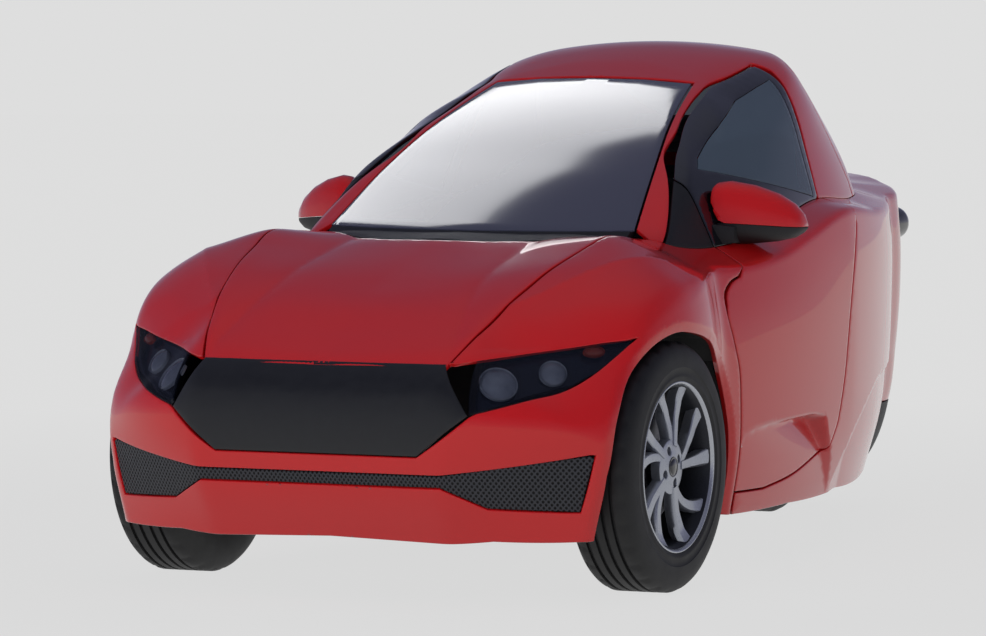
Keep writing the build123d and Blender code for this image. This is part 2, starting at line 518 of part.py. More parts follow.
# ---------------------------------------------------------------- steering knuckles and front suspension
LOW_EYE_Z, TOP_EYE_Z = 190.0, 428.0
KINGPIN_R = 9.0
EYE_R = 18.0
knuckle = fuse(rod((KINGPIN_X - 16, 0, TYRE_R), (HALF_TRACK - 14, 0, TYRE_R), 36),
               block(KINGPIN_X - 16, KINGPIN_X + 14, -24, 24, 206, 412),
               rod((KINGPIN_X, 0, LOW_EYE_Z - 14), (KINGPIN_X, 0, 230), KINGPIN_R),
               rod((KINGPIN_X, 0, 390), (KINGPIN_X, 0, TOP_EYE_Z + 14), KINGPIN_R),
               block(KINGPIN_X - 2, HALF_TRACK - 20, -120, 0, TYRE_R - 16, TYRE_R + 16),
               block(HALF_TRACK - 22, HALF_TRACK + 14, -160, -134, TYRE_R - 50, TYRE_R + 50),
               block(HALF_TRACK - 22, HALF_TRACK - 9, -160, -84, TYRE_R - 50, TYRE_R + 50))
knuckle = knuckle - rod((HALF_TRACK - 8, 0, TYRE_R), (HALF_TRACK + 20, 0, TYRE_R), 60)
knuckle = fuse(knuckle, rod((HALF_TRACK - 16, 0, TYRE_R), (HALF_TRACK + 23.5, 0, TYRE_R), 30))
knuckle = biggest(knuckle - (turned([(-9, 39.5), (24.5, 39.5), (24.5, 135), (-9, 135)])).moved(
    Location(at(HALF_TRACK, 0, TYRE_R))))
for side, flip in (("left", 1), ("right", -1)):
    node(f"knuckle_{side}", knuckle if flip == 1 else mirrored(knuckle))

link_set = block(-325, 325, -120, 120, 150, SUBFRAME_TOP)
for flip in (1, -1):
    for z, inner in ((LOW_EYE_Z, 250), (TOP_EYE_Z, 300)):
        for s in (-105, 105):
            link_set = link_set + rod((flip * inner, s, z), (flip * (KINGPIN_X - 10), 0, z), 8)
        link_set = link_set + rod((flip * KINGPIN_X, 0, z - 10), (flip * KINGPIN_X, 0, z + 10), EYE_R)
    tower = block(285, 325, -120, 120, 150, 600) if flip == 1 else block(-325, -285, -120, 120, 150, 600)
    link_set = link_set + tower
    link_set = link_set + rod((flip * 310, 60, 560), (flip * 440, 40, 206), 26)
for flip in (1, -1):
    for z in (LOW_EYE_Z, TOP_EYE_Z):
        link_set = link_set - rod((flip * KINGPIN_X, 0, z - 20), (flip * KINGPIN_X, 0, z + 20), KINGPIN_R + SEAM)
node("front_suspension", link_set)

# ---------------------------------------------------------------- rear arm, motor, battery
arm = block(100, 128, 1640, REAR_AXLE_S + 40, TYRE_R - 30, TYRE_R + 20)
reach = WELL_HALF + WELL_SKIN + 2 - SEAM
node("swing_arm", fuse(arm, mirrored(arm), block(-128, 128, 1624, 1690, TYRE_R - 30, TYRE_R + 20),
                       rod((-reach, ARM_PIVOT_S, ARM_PIVOT_Z), (reach, ARM_PIVOT_S, ARM_PIVOT_Z), ARM_PIVOT_R),
                       rod((66 + SEAM, REAR_AXLE_S, TYRE_R), (100, REAR_AXLE_S, TYRE_R), 20),
                       rod((-100, REAR_AXLE_S, TYRE_R), (24 - SEAM, REAR_AXLE_S, TYRE_R), 20)))
node("motor", block(-150, 150, 1405, 1556, FLOOR_Z, 370))
node("battery", block(-330, 330, 700, 1340, FLOOR_Z, 300))

# ---------------------------------------------------------------- interior
cushion = block(-250, 250, 900, 1400, 300, 430)
back = prism([(1340, 400), (1400, 400), (1500, 980), (1545, 980), (1545, 620), (1480, 380)], "sz", -240, 240)
rest = prism([(1490, 1010), (1505, 1120), (1560, 1120), (1555, 980), (1500, 980)], "sz", -130, 130)
node("seat", fuse(cushion, back, rest, block(-60, 60, 1500, 1540, 960, 1030)))
dash = prism([(468, 640), (468, 830), (560, 860), (680, 820), (690, 740), (600, 640)], "sz", -500, 500)
node("dashboard", biggest((dash & room) - block(-800, 800, 0, 467, 0, 2000)))
WHEEL_AXIS = (0, cos(radians(STEERING_TILT)), sin(radians(STEERING_TILT)))
hub_s, hub_z = STEERING_S, STEERING_Z


def along(t):
    return (0, hub_s + t * WHEEL_AXIS[1], hub_z + t * WHEEL_AXIS[2])


node("steering_column", rod(along(-130), along(-24), 28) - NODES["dashboard"])
plane = Plane(origin=at(*along(0)), z_dir=Vector(*WHEEL_AXIS), x_dir=Vector(1, 0, 0))
section = [(STEERING_R + 14 * cos(i * pi / 3), 14 * sin(i * pi / 3)) for i in range(6)]
ring = Solid.revolve(Face(Wire.make_polygon([Vector(x, 0, z) for x, z in section], close=True)), 360, Axis.Z)
ring = plane.location * ring
wheel = fuse(ring, rod(along(-24 + SEAM), along(20), 52))
for x, z in ((1, 0), (-1, 0), (0, -1)):
    bar = Box(STEERING_R, 34, 14).moved(Location((STEERING_R / 2, 0, 0)))
    turn = {(1, 0): 0, (-1, 0): 180, (0, -1): 270}[(x, z)]
    wheel = wheel + plane.location * (bar.rotate(Axis.Z, turn))
node("steering_wheel", wheel)
pedals = fuse(rod((-120, 300, 600), (120, 300, 600), 10), block(-90, -70, 300, 312, 330, 600),
              block(60, 80, 300, 312, 330, 600), block(-110, -50, 300, 322, 300, 380),
              block(45, 95, 300, 322, 300, 400), block(-130, -110, 248, 310, 585, 615),
              block(110, 130, 248, 310, 585, 615))
node("pedals", pedals)

boxes = [s.bounding_box() for s in NODES.values()]
print("nodes", len(NODES))
for axis in ("X", "Y", "Z"):
    print(axis, round(min(getattr(b.min, axis) for b in boxes), 1), round(max(getattr(b.max, axis) for b in boxes), 1))
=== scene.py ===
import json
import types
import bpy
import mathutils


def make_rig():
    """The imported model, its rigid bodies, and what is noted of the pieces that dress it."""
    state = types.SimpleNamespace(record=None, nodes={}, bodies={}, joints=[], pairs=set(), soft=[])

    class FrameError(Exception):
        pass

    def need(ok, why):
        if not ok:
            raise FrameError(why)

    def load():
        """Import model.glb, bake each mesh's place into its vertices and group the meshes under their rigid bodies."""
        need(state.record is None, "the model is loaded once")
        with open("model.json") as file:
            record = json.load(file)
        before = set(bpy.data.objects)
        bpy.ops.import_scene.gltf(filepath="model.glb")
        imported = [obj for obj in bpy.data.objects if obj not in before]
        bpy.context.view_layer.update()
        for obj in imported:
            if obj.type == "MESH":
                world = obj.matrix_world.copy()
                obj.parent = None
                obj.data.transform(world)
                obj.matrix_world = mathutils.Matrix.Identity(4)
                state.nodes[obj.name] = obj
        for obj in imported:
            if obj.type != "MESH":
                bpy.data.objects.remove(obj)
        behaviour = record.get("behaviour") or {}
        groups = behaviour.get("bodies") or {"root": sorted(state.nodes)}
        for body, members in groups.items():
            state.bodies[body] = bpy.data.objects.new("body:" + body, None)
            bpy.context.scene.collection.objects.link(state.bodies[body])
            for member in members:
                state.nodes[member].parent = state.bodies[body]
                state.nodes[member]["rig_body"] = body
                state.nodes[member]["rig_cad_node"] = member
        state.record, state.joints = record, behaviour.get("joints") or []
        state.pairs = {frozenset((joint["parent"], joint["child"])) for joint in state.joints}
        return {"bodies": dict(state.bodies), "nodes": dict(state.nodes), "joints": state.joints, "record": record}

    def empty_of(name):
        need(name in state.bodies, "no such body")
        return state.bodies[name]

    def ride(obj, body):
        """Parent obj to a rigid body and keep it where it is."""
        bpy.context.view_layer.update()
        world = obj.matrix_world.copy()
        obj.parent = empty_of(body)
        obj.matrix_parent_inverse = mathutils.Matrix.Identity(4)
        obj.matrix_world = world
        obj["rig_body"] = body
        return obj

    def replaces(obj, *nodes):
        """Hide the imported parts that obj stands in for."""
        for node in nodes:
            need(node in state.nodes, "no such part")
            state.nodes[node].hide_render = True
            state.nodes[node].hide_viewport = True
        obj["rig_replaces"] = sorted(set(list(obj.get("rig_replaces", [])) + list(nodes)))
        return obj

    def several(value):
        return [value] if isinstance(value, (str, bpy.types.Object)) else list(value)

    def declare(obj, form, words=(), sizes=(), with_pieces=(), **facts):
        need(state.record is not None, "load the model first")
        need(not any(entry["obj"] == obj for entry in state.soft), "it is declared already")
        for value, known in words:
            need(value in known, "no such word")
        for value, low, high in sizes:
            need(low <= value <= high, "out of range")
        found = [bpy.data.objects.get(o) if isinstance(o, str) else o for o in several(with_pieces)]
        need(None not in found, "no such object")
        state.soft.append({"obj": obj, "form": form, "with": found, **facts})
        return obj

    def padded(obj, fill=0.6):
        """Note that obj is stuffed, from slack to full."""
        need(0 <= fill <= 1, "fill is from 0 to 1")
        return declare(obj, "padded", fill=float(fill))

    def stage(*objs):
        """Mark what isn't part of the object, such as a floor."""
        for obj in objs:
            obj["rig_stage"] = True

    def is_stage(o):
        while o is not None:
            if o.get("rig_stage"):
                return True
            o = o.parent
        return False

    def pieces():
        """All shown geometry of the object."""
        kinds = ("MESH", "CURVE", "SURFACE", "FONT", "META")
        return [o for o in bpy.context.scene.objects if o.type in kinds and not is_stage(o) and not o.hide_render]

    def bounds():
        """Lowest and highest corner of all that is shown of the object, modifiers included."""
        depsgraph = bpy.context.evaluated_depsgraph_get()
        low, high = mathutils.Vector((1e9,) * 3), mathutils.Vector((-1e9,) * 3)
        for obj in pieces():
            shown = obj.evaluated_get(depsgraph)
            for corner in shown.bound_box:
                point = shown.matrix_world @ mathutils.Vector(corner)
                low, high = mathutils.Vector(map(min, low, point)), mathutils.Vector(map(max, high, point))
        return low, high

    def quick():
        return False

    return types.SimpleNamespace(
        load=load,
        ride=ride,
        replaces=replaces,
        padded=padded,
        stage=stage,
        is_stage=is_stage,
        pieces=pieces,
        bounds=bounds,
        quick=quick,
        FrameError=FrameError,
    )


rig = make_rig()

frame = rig.load()

import json
import math

import bmesh
import bpy
import numpy as np
from mathutils import Matrix, Vector, geometry


def write_size(key):
    low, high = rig.bounds()
    path = "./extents.json"
    try:
        data = json.load(open(path)) if key == "dressed" else {}
    except (OSError, ValueError):
        data = {}
    data[key] = [list(low), list(high)]
    with open(path, "w") as handle:
        json.dump(data, handle)


write_size("frame")
NODES, scene = frame["nodes"], bpy.context.scene

# ---- sizes (mm; s runs back from the front axle)
FRONT_AXLE_Y = -1010.0
WHEELBASE = 2045.0
TYRE_R = 304.0
HALF_TRACK = 622.0
SHUT_GAP = 5.0
GRID, ANGLES = 5.0, 1441  # spacing of the tables that the surfaces are read from, and angles in a ring
BATCH = 4000  # points measured at a time

# Plan outline of the lower body: z, then (x, s) of nose edge, corner middle, corner end, flare, waist, door,
# quarter, side middle, side, stern middle and stern; end s
PLAN = [
    (145, (315, -455), (490, -405), (650, -330), (690, -10), (630, 345), (640, 800), (596, 1230), (486, 1690),
     (286, 2120), (222, 2300), (120, 2400), 2425),
    (300, (325, -527), (495, -448), (683, -330), (727, -10), (655, 345), (668, 800), (632, 1230), (520, 1700),
     (330, 2160), (265, 2360), (150, 2480), 2520),
    (450, (330, -540), (540, -440), (698, -290), (731, -10), (660, 345), (675, 800), (645, 1230), (530, 1710),
     (345, 2170), (280, 2380), (160, 2510), 2550),
    (610, (325, -504), (505, -352), (690, -190), (728, -10), (653, 345), (675, 800), (648, 1230), (535, 1710),
     (350, 2180), (290, 2390), (170, 2520), 2560),
    (760, (300, -450), (470, -300), (675, -150), (700, -10), (630, 345), (660, 800), (645, 1230), (535, 1710),
     (350, 2180), (290, 2390), (170, 2520), 2560),
    (900, (280, -400), (440, -270), (650, -130), (670, -10), (605, 345), (640, 800), (630, 1230), (520, 1710),
     (340, 2170), (280, 2380), (165, 2510), 2545),
]
# Upper surface of the lower body: s, centre z, then (x, z) of crease, shut line, crown; z at CROWN_X
CROWN = [
    (-570, 535, (322, 540), (335, 538), (440, 500), 360),
    (-500, 566, (321, 572), (333, 572), (430, 555), 400),
    (-400, 628, (305, 636), (362, 641), (450, 586), 370),
    (-300, 692, (284, 697), (388, 702), (505, 656), 450),
    (-180, 744, (269, 752), (412, 760), (545, 735), 560),
    (0, 806, (262, 802), (441, 819), (600, 800), 610),
    (110, 836, (248, 826), (470, 850), (635, 790), 640),
    (280, 850, (248, 845), (480, 835), (655, 757), 690),
    (450, 850, (248, 845), (480, 825), (660, 752), 700),
    (735, 865, (248, 860), (480, 845), (668, 777), 720),
    (950, 900, (248, 895), (480, 880), (655, 826), 780),
    (1186, 935, (248, 925), (480, 912), (640, 871), 840),
    (1600, 945, (200, 940), (400, 918), (510, 872), 790),
    (2100, 930, (120, 925), (260, 905), (350, 873), 700),
    (2600, 915, (80, 912), (160, 900), (240, 873), 720),
]
CROWN_X = 780.0
# Plan outline of the cabin: z, windscreen s, then (x, s) of screen edge, pillar, door glass, quarter and
# tail; tail s
CABIN = [
    (740, 60, (455, 200), (520, 240), (590, 900), (480, 1720), (260, 2240), 2350),
    (850, 245, (421, 357), (492, 400), (562, 950), (452, 1720), (250, 2180), 2290),
    (1000, 515, (371, 588), (444, 612), (510, 1050), (398, 1710), (230, 2060), 2170),
    (1150, 829, (302, 875), (384, 920), (446, 1200), (330, 1650), (195, 1865), 1960),
    (1230, 1050, (262, 1060), (345, 1110), (396, 1300), (285, 1600), (165, 1740), 1820),
    (1330, 1260, (200, 1262), (290, 1300), (325, 1410), (215, 1560), (130, 1610), 1650),
]
# Roof: s, centre z, (x, z) of the shoulder, z at ROOF_X
ROOF = [
    (0, 880, (350, 850), 740),
    (500, 1065, (350, 1030), 900),
    (1000, 1214, (300, 1192), 1060),
    (1400, 1300, (300, 1274), 1130),
    (1700, 1262, (300, 1228), 1080),
    (2000, 1130, (280, 1090), 950),
    (2400, 860, (260, 830), 700),
]
ROOF_X = 700.0


# ---- master surfaces
def arc_points(a, m, b, n=24):
    """Points on the circle through a, m and b, or on the straight line when they are in line."""
    a, m, b = (np.array(p, float) for p in (a, m, b))
    d = 2 * (a[0] * (m[1] - b[1]) + m[0] * (b[1] - a[1]) + b[0] * (a[1] - m[1]))
    if abs(d) < 1e-6:
        return [a + (b - a) * i / n for i in range(n + 1)]
    sq = [p @ p for p in (a, m, b)]
    c = np.array([(sq[0] * (m[1] - b[1]) + sq[1] * (b[1] - a[1]) + sq[2] * (a[1] - m[1])) / d,
                  (sq[0] * (b[0] - m[0]) + sq[1] * (a[0] - b[0]) + sq[2] * (m[0] - a[0])) / d])
    r = np.hypot(*(a - c))
    t0, tm, t1 = (math.atan2(*(p - c)[::-1]) for p in (a, m, b))
    turn = (t1 - t0) % (2 * math.pi)
    if (tm - t0) % (2 * math.pi) > turn:
        turn -= 2 * math.pi
    angles = [t0 + turn * i / n for i in range(n + 1)]
    return [c + r * np.array([math.cos(t), math.sin(t)]) for t in angles]


def line_points(a, b, n=14):
    a, b = np.array(a, float), np.array(b, float)
    return [a + (b - a) * i / n for i in range(n + 1)]


def spline_rows(knots, rows, at):
    """Smooth interpolation of whole rows between knots, with slopes from their neighbours."""
    knots, rows = np.array(knots, float), np.array(rows, float)
    step = np.diff(knots)
    slope = np.diff(rows, axis=0) / step[:, None]
    m = np.empty_like(rows)
    m[0], m[-1] = slope[0], slope[-1]
    w = step[1:, None] / (step[1:] + step[:-1])[:, None]
    m[1:-1] = slope[:-1] * w + slope[1:] * (1 - w)
    i = np.clip(np.searchsorted(knots, at) - 1, 0, len(step) - 1)
    h = step[i][:, None]
    t = np.clip((at - knots[i]) / step[i], -0.5, 1.5)[:, None]
    return ((2 * t**3 - 3 * t**2 + 1) * rows[i] + (t**3 - 2 * t**2 + t) * h * m[i]
            + (3 * t**2 - 2 * t**3) * rows[i + 1] + (t**3 - t**2) * h * m[i + 1])


def blur(table, sigma):
    """Gaussian smoothing along the rows of a table, their ends mirrored."""
    r = int(3 * sigma + 1)
    k = np.exp(-0.5 * (np.arange(-r, r + 1) / sigma) ** 2)
    k /= k.sum()
    t = np.pad(table, [(0, 0), (r, r)], mode="reflect")
    return np.apply_along_axis(lambda v: np.convolve(v, k, "valid"), 1, t)


class Table:
    """Values on a regular grid that starts at (u0, 0), read between its points."""

    def __init__(self, u0, du, dv, values):
        self.u0, self.du, self.dv, self.t = u0, du, dv, values

    def __call__(self, u, v):
        n, m = self.t.shape
        a = np.clip((u - self.u0) / self.du, 0, n - 1.001)
        b = np.clip(v / self.dv, 0, m - 1.001)
        i, j, t = a.astype(int), b.astype(int), self.t
        a, b = a - i, b - j
        return (t[i, j] * (1 - a) * (1 - b) + t[i + 1, j] * a * (1 - b) + t[i, j + 1] * (1 - a) * b
                + t[i + 1, j + 1] * a * b)


class Ring:
    """A closed plan outline that changes with height, seen from a centre line at one station."""

    def __init__(self, centre, squeeze, zs, outlines, z_range, soft):
        self.centre, self.squeeze = centre, squeeze
        angles = np.linspace(0, math.pi, ANGLES)
        rows = []
        for pts in outlines:
            p = np.array(pts)
            x, y = p[:, 0], (p[:, 1] - centre) * squeeze
            a = np.arctan2(x, -y)
            rows.append(np.interp(angles, a, np.hypot(x, y)))
        t = blur(spline_rows(zs, rows, np.arange(*z_range, GRID)), soft)
        self.table = Table(z_range[0], GRID, angles[1], t)

    def __call__(self, p):
        x, y = np.abs(p[:, 0]), (p[:, 1] - self.centre) * self.squeeze
        r = np.hypot(x, y) + 1e-9
        size = np.sqrt((x / r) ** 2 + (self.squeeze * y / r) ** 2)
        return (r - self.table(p[:, 2], np.arctan2(x, -y))) / size


class Lid:
    """A height that changes with x and s."""

    def __init__(self, stations, sections, limit, soft):
        xs = np.arange(0, limit + 1, GRID)
        rows = [np.interp(xs, [q[0] for q in c], [q[1] for q in c]) for c in sections]
        t = blur(spline_rows(stations, rows, np.arange(stations[0], stations[-1], GRID)), soft)
        self.table = Table(stations[0], GRID, GRID, t)
        gs, gx = np.gradient(t, GRID)
        self.steep = Table(stations[0], GRID, GRID, np.sqrt(1 + gs**2 + gx**2))

    def __call__(self, p):
        x = np.abs(p[:, 0])
        return (p[:, 2] - self.table(p[:, 1], x)) / self.steep(p[:, 1], x)


def plan_outline(row):
    z, nose, cm, c, flare, waist, door, quarter, sm, side, tm, stern, end = row
    pts = line_points((0.0, nose[1]), nose)
    for a, m, b in ((nose, cm, c), (c, flare, waist), (waist, door, quarter), (quarter, sm, side),
                    (side, tm, stern)):
        pts += arc_points(a, m, b)[1:]
    return pts + arc_points(stern, (0, end), (-stern[0], stern[1]), 16)[1:9]


def cabin_outline(row):
    z, front, a, p, m, b, c, rear = row
    pts = arc_points((-a[0], a[1]), (0, front), a, 24)[12:]
    pts += line_points(a, p)[1:] + arc_points(p, m, b)[1:] + line_points(b, c)[1:]
    return pts + arc_points(c, (0, rear), (-c[0], c[1]), 16)[1:9]


def crown_section(row):
    _, centre, crease, shut, crown, edge = row
    return [(0, centre), crease, shut] + arc_points(shut, crown, (CROWN_X, edge))


def roof_section(row):
    _, centre, (x, z), edge = row
    return arc_points((-x, z), (0, centre), (x, z), 32)[16:] + [(ROOF_X, edge)]


def knots(rows):
    return [row[0] for row in rows]


SIDE = Ring(900, 0.47, knots(PLAN), [plan_outline(r) for r in PLAN], (90, 960), 9)
TOP = Lid(knots(CROWN), [crown_section(r) for r in CROWN], CROWN_X, 2.5)
CAB = Ring(1400, 0.55, knots(CABIN), [cabin_outline(r) for r in CABIN], (700, 1340), 6)
LID = Lid(knots(ROOF), [roof_section(r) for r in ROOF], ROOF_X, 7)
NORMAL_SPAN = 4.0  # normals come from points this far to either side
REACH, MARCH, HALVINGS = 1600.0, 80, 14  # how far rays go, in how many steps, then halved


def soft_max(a, b, k):
    h = np.clip(0.5 + 0.5 * (a - b) / k, 0, 1)
    return a * h + b * (1 - h) + k * h * (1 - h)


SHOULDER_S, SHOULDER_SOFT, CABIN_SOFT = (-420, -200, 250), (55.0, 26.0, 15.0), 45.0


def lower(p):
    """The lower body, its shoulder round at the nose and crisp from the front wheel back."""
    return soft_max(SIDE(p), TOP(p), np.interp(p[:, 1], SHOULDER_S, SHOULDER_SOFT))


def upper(p):
    return soft_max(CAB(p), LID(p), CABIN_SOFT)


def normals(form, p):
    g = np.stack([form(p + d) - form(p - d) for d in np.eye(3) * NORMAL_SPAN], axis=1)
    return g / np.linalg.norm(g, axis=1)[:, None]


def cast(form, start, way):
    """Where rays from inside leave the form."""
    lo, hi = np.zeros(len(way)), np.full(len(way), REACH)
    found = np.zeros(len(way), bool)
    for i in range(1, MARCH + 1):
        t = REACH * i / MARCH
        out = form(start + way * t) > 0
        new = out & ~found
        hi[new], lo[new] = t, t - REACH / MARCH
        found |= out
    for _ in range(HALVINGS):
        mid = (lo + hi) / 2
        out = form(start + way * mid[:, None]) > 0
        hi, lo = np.where(out, mid, hi), np.where(out, lo, mid)
    return start + way * hi[:, None]


# ---- panels
def to_metres(p):
    return (np.asarray(p, float) + np.array([0, FRONT_AXLE_Y, 0])) / 1000.0


def dense(points, step, closed=True):
    """Points added along straight runs, no farther apart than the step."""
    out, n = [], len(points)
    for i in range(n if closed else n - 1):
        a, b = np.array(points[i], float), np.array(points[(i + 1) % n], float)
        k = max(1, int(math.ceil(np.linalg.norm(b - a) / step)))
        out += [a + (b - a) * j / k for j in range(k)]
    if not closed:
        out.append(np.array(points[-1], float))
    return out


def inside(pts, loop):
    """Which points lie inside a closed 2-D loop."""
    x, y = pts[:, 0], pts[:, 1]
    hit = np.zeros(len(pts), bool)
    for (x0, y0), (x1, y1) in zip(loop, np.roll(loop, -1, axis=0)):
        hit ^= ((y0 > y) != (y1 > y)) & (x < (x1 - x0) * (y - y0) / (y1 - y0 + 1e-30) + x0)
    return hit


def off_edge(pts, loops, gap):
    """Which points keep their distance from the loops' points."""
    keep = np.ones(len(pts), bool)
    for loop in loops:
        for some in (slice(i, i + BATCH) for i in range(0, len(pts), BATCH)):
            keep[some] &= ((pts[some, None, :] - loop[None, :, :]) ** 2).sum(2).min(1) > gap * gap
    return keep


ROW = 0.866  # height of an even triangle of side 1
GRID_GAP, LINE_GAP = 0.62, 0.3  # how near, in steps, even points and points of lines come to an edge


def fill(loops, step, lines=()):
    """Triangles inside flat loops, the first outside and the others holes, on even points and the lines."""
    low, high = loops[0].min(0), loops[0].max(0)
    nx, ny = int((high[0] - low[0]) / step) + 2, int((high[1] - low[1]) / (step * ROW)) + 2
    gx, gy = np.meshgrid(np.arange(nx), np.arange(ny))
    grid = np.stack([low[0] + (gx + 0.5 * (gy % 2)) * step, low[1] + gy * step * ROW], axis=-1).reshape(-1, 2)
    grid = grid[inside(grid, loops[0])]
    for hole in loops[1:]:
        grid = grid[~inside(grid, hole)]
    grid = grid[off_edge(grid, list(loops) + list(lines), step * GRID_GAP)]
    lines = [line[inside(line, loops[0]) & off_edge(line, loops, step * LINE_GAP)] for line in lines]
    verts = np.concatenate(list(loops) + lines + [grid])
    edges, at = [], 0
    for n, open_end in [(len(loop), 0) for loop in loops] + [(len(line), 1) for line in lines]:
        edges += [(at + i, at + (i + 1) % n) for i in range(n - open_end)]
        at += n
    got = geometry.delaunay_2d_cdt([Vector(v) for v in verts], edges, [], 1, step * 1e-3)
    flat, faces = np.array([list(v) for v in got[0]]), [list(f) for f in got[2]]
    if len(loops) > 1:
        mid = np.array([flat[f].mean(0) for f in faces])
        keep = ~np.any([inside(mid, hole) for hole in loops[1:]], axis=0)
        faces = [f for f, k in zip(faces, keep) if k]
    return flat, faces


def linked(name, data):
    obj = bpy.data.objects.new(name, data)
    scene.collection.objects.link(obj)
    return obj


def mesh_object(name, verts, faces, sharp=None, slots=None):
    mesh = bpy.data.meshes.new(name)
    mesh.from_pydata([tuple(v) for v in verts], [], [tuple(int(i) for i in f) for f in faces])
    mesh.polygons.foreach_set("use_smooth", [True] * len(mesh.polygons))
    if slots is not None:
        mesh.polygons.foreach_set("material_index", slots)
    if sharp:
        mesh.set_sharp_from_angle(angle=math.radians(sharp))
    mesh.validate()
    return linked(name, mesh)


def panel(name, material, body, replaced, form, loops, view, step=9.0, edge_r=2.5, flange=11.0, shape=None,
          mirror=False, half=False, creases=(), band=0.0):
    """A panel: loops and creases are 3-D lines on the form, seen along an axis or from a point inside it.

    The shape moves points off the form, half adds the mirrored half, band gives the rim a second material."""
    if np.ndim(view[0]) == 0:  # the axis, where rays along it start, their sign
        keep = [i for i in range(3) if i != view[0]]
        flat = [np.array(dense(np.array(loop, float)[:, keep], step)) for loop in loops]
        lines = [np.array(line)[:, keep] for line in creases]
        if band:
            lines.append(np.array(grow(flat[0], -band)))
        uv, faces = fill(flat, step, lines)
        pts = np.array(lift(form, uv, *view))
    else:  # the point, the middle of the view, its upward way
        centre, main, up = (np.array(v, float) for v in view)
        main /= np.linalg.norm(main)
        e1 = np.cross(main, up)
        e1 /= np.linalg.norm(e1)
        e2 = np.cross(e1, main)

        def flatten(points):
            d = np.array(points, float) - centre
            dist = np.linalg.norm(d, axis=1)
            d /= dist[:, None]
            ang = np.arccos(np.clip(d @ main, -1, 1))
            u, v = d @ e1, d @ e2
            h = np.hypot(u, v) + 1e-12
            return np.stack([ang * u / h, ang * v / h], axis=1), dist

        flat, dists = zip(*[flatten(dense(loop, step)) for loop in loops])
        uv, faces = fill([np.array(f) for f in flat], step / float(np.median(dists[0])),
                         [flatten(line)[0] for line in creases])
        ang = np.hypot(uv[:, 0], uv[:, 1]) + 1e-12
        way = np.cos(ang)[:, None] * main + (np.sin(ang) / ang)[:, None] * (uv[:, :1] * e1 + uv[:, 1:] * e2)
        pts = cast(form, np.broadcast_to(centre, way.shape), way)
    n = normals(form, pts)
    if shape is not None:
        pts = shape(pts, n)
    faces = orient(pts, faces, n)
    slots = None
    if band:
        middles = np.array([uv[f].mean(0) for f in faces])
        slots = [0 if far else 1 for far in off_edge(middles, flat[:1], band)]
    if half:
        pts, n, faces = doubled(pts, n, faces)
    verts, faces = rounded_edge(pts, n, faces, edge_r, flange)
    verts, faces = mirrored(verts, faces, mirror)
    obj = mesh_object(name, to_metres(verts), faces, slots=slots and slots + [1] * (len(faces) - len(slots)))
    return placed(obj, material, body, *([replaced] if replaced else []))


def mirrored(verts, faces, flip=True):
    return (verts * np.array([-1, 1, 1]), [f[::-1] for f in faces]) if flip else (verts, faces)


def doubled(pts, n, faces):
    """Adds the mirrored half and joins the two along the centre line."""
    mid = np.abs(pts[:, 0]) < 0.5
    pts[mid, 0] = 0
    n[mid, 0] = 0
    n /= np.linalg.norm(n, axis=1)[:, None]
    twin = np.arange(len(pts))
    twin[~mid] = len(pts) + np.arange((~mid).sum())
    flip = np.array([-1, 1, 1])
    return (np.concatenate([pts, pts[~mid] * flip]), np.concatenate([n, n[~mid] * flip]),
            [list(f) for f in faces] + [[int(twin[i]) for i in reversed(f)] for f in faces])


def grid_faces(n, m, closed=True, around=True):
    """Faces between n rows of m points: each row closed or open, the last joined to the first or not."""
    return [[i * m + j, i * m + (j + 1) % m, (i + 1) % n * m + (j + 1) % m, (i + 1) % n * m + j]
            for i in range(n if around else n - 1) for j in range(m if closed else m - 1)]


def rows_mesh(rows, closed=True):
    """Faces between rows of points, each row a closed or open line, with the first and last rows capped."""
    m = len(rows[0])
    verts = np.concatenate([np.array(r, float) for r in rows])
    caps = [list(range(m))[::-1], [len(verts) - m + j for j in range(m)]]
    return verts, grid_faces(len(rows), m, closed, False) + caps


def orient(pts, faces, n):
    """Turns all faces over when they look away from the normals."""
    f0 = faces[len(faces) // 2]
    a, b, c = pts[f0[0]], pts[f0[1]], pts[f0[2]]
    if np.cross(b - a, c - a) @ n[f0[0]] < 0:
        return [f[::-1] for f in faces]
    return faces


def rounded_edge(pts, n, faces, r, flange):
    """Turns every open edge of the sheet down round a small radius into a flange."""
    seen = {(a, b) for f in faces for a, b in zip(f, f[1:] + f[:1])}
    nxt = {}
    for a, b in sorted(seen):
        if (b, a) not in seen:
            nxt.setdefault(a, []).append(b)
    verts, count = [pts.copy()], len(pts)
    faces = [list(f) for f in faces]
    while nxt:
        first = next(iter(nxt))
        loop = [first]
        while True:
            ways = nxt[loop[-1]]
            step_to = ways.pop()
            if not ways:
                del nxt[loop[-1]]
            if step_to == first or step_to not in nxt:
                break
            loop.append(step_to)
        if len(loop) < 4:
            continue
        idx = np.array(loop)
        p, m = pts[idx], n[idx]
        along = np.roll(p, -1, 0) - np.roll(p, 1, 0)
        along /= np.linalg.norm(along, axis=1)[:, None] + 1e-9
        out = np.cross(along, m)
        verts[0][idx] = p - out * r
        rings, k = [idx], len(idx)
        turns = [p - out * r * (1 - math.sin(a)) - m * r * (1 - math.cos(a))
                 for a in map(math.radians, (30, 60, 90))]
        for row in turns + [p - m * flange]:
            verts.append(row)
            rings.append(np.arange(count, count + k))
            count += k
        faces += [[u[(i + 1) % k], u[i], v[i], v[(i + 1) % k]]
                  for u, v in zip(rings, rings[1:]) for i in range(k)]
    return np.concatenate(verts), faces


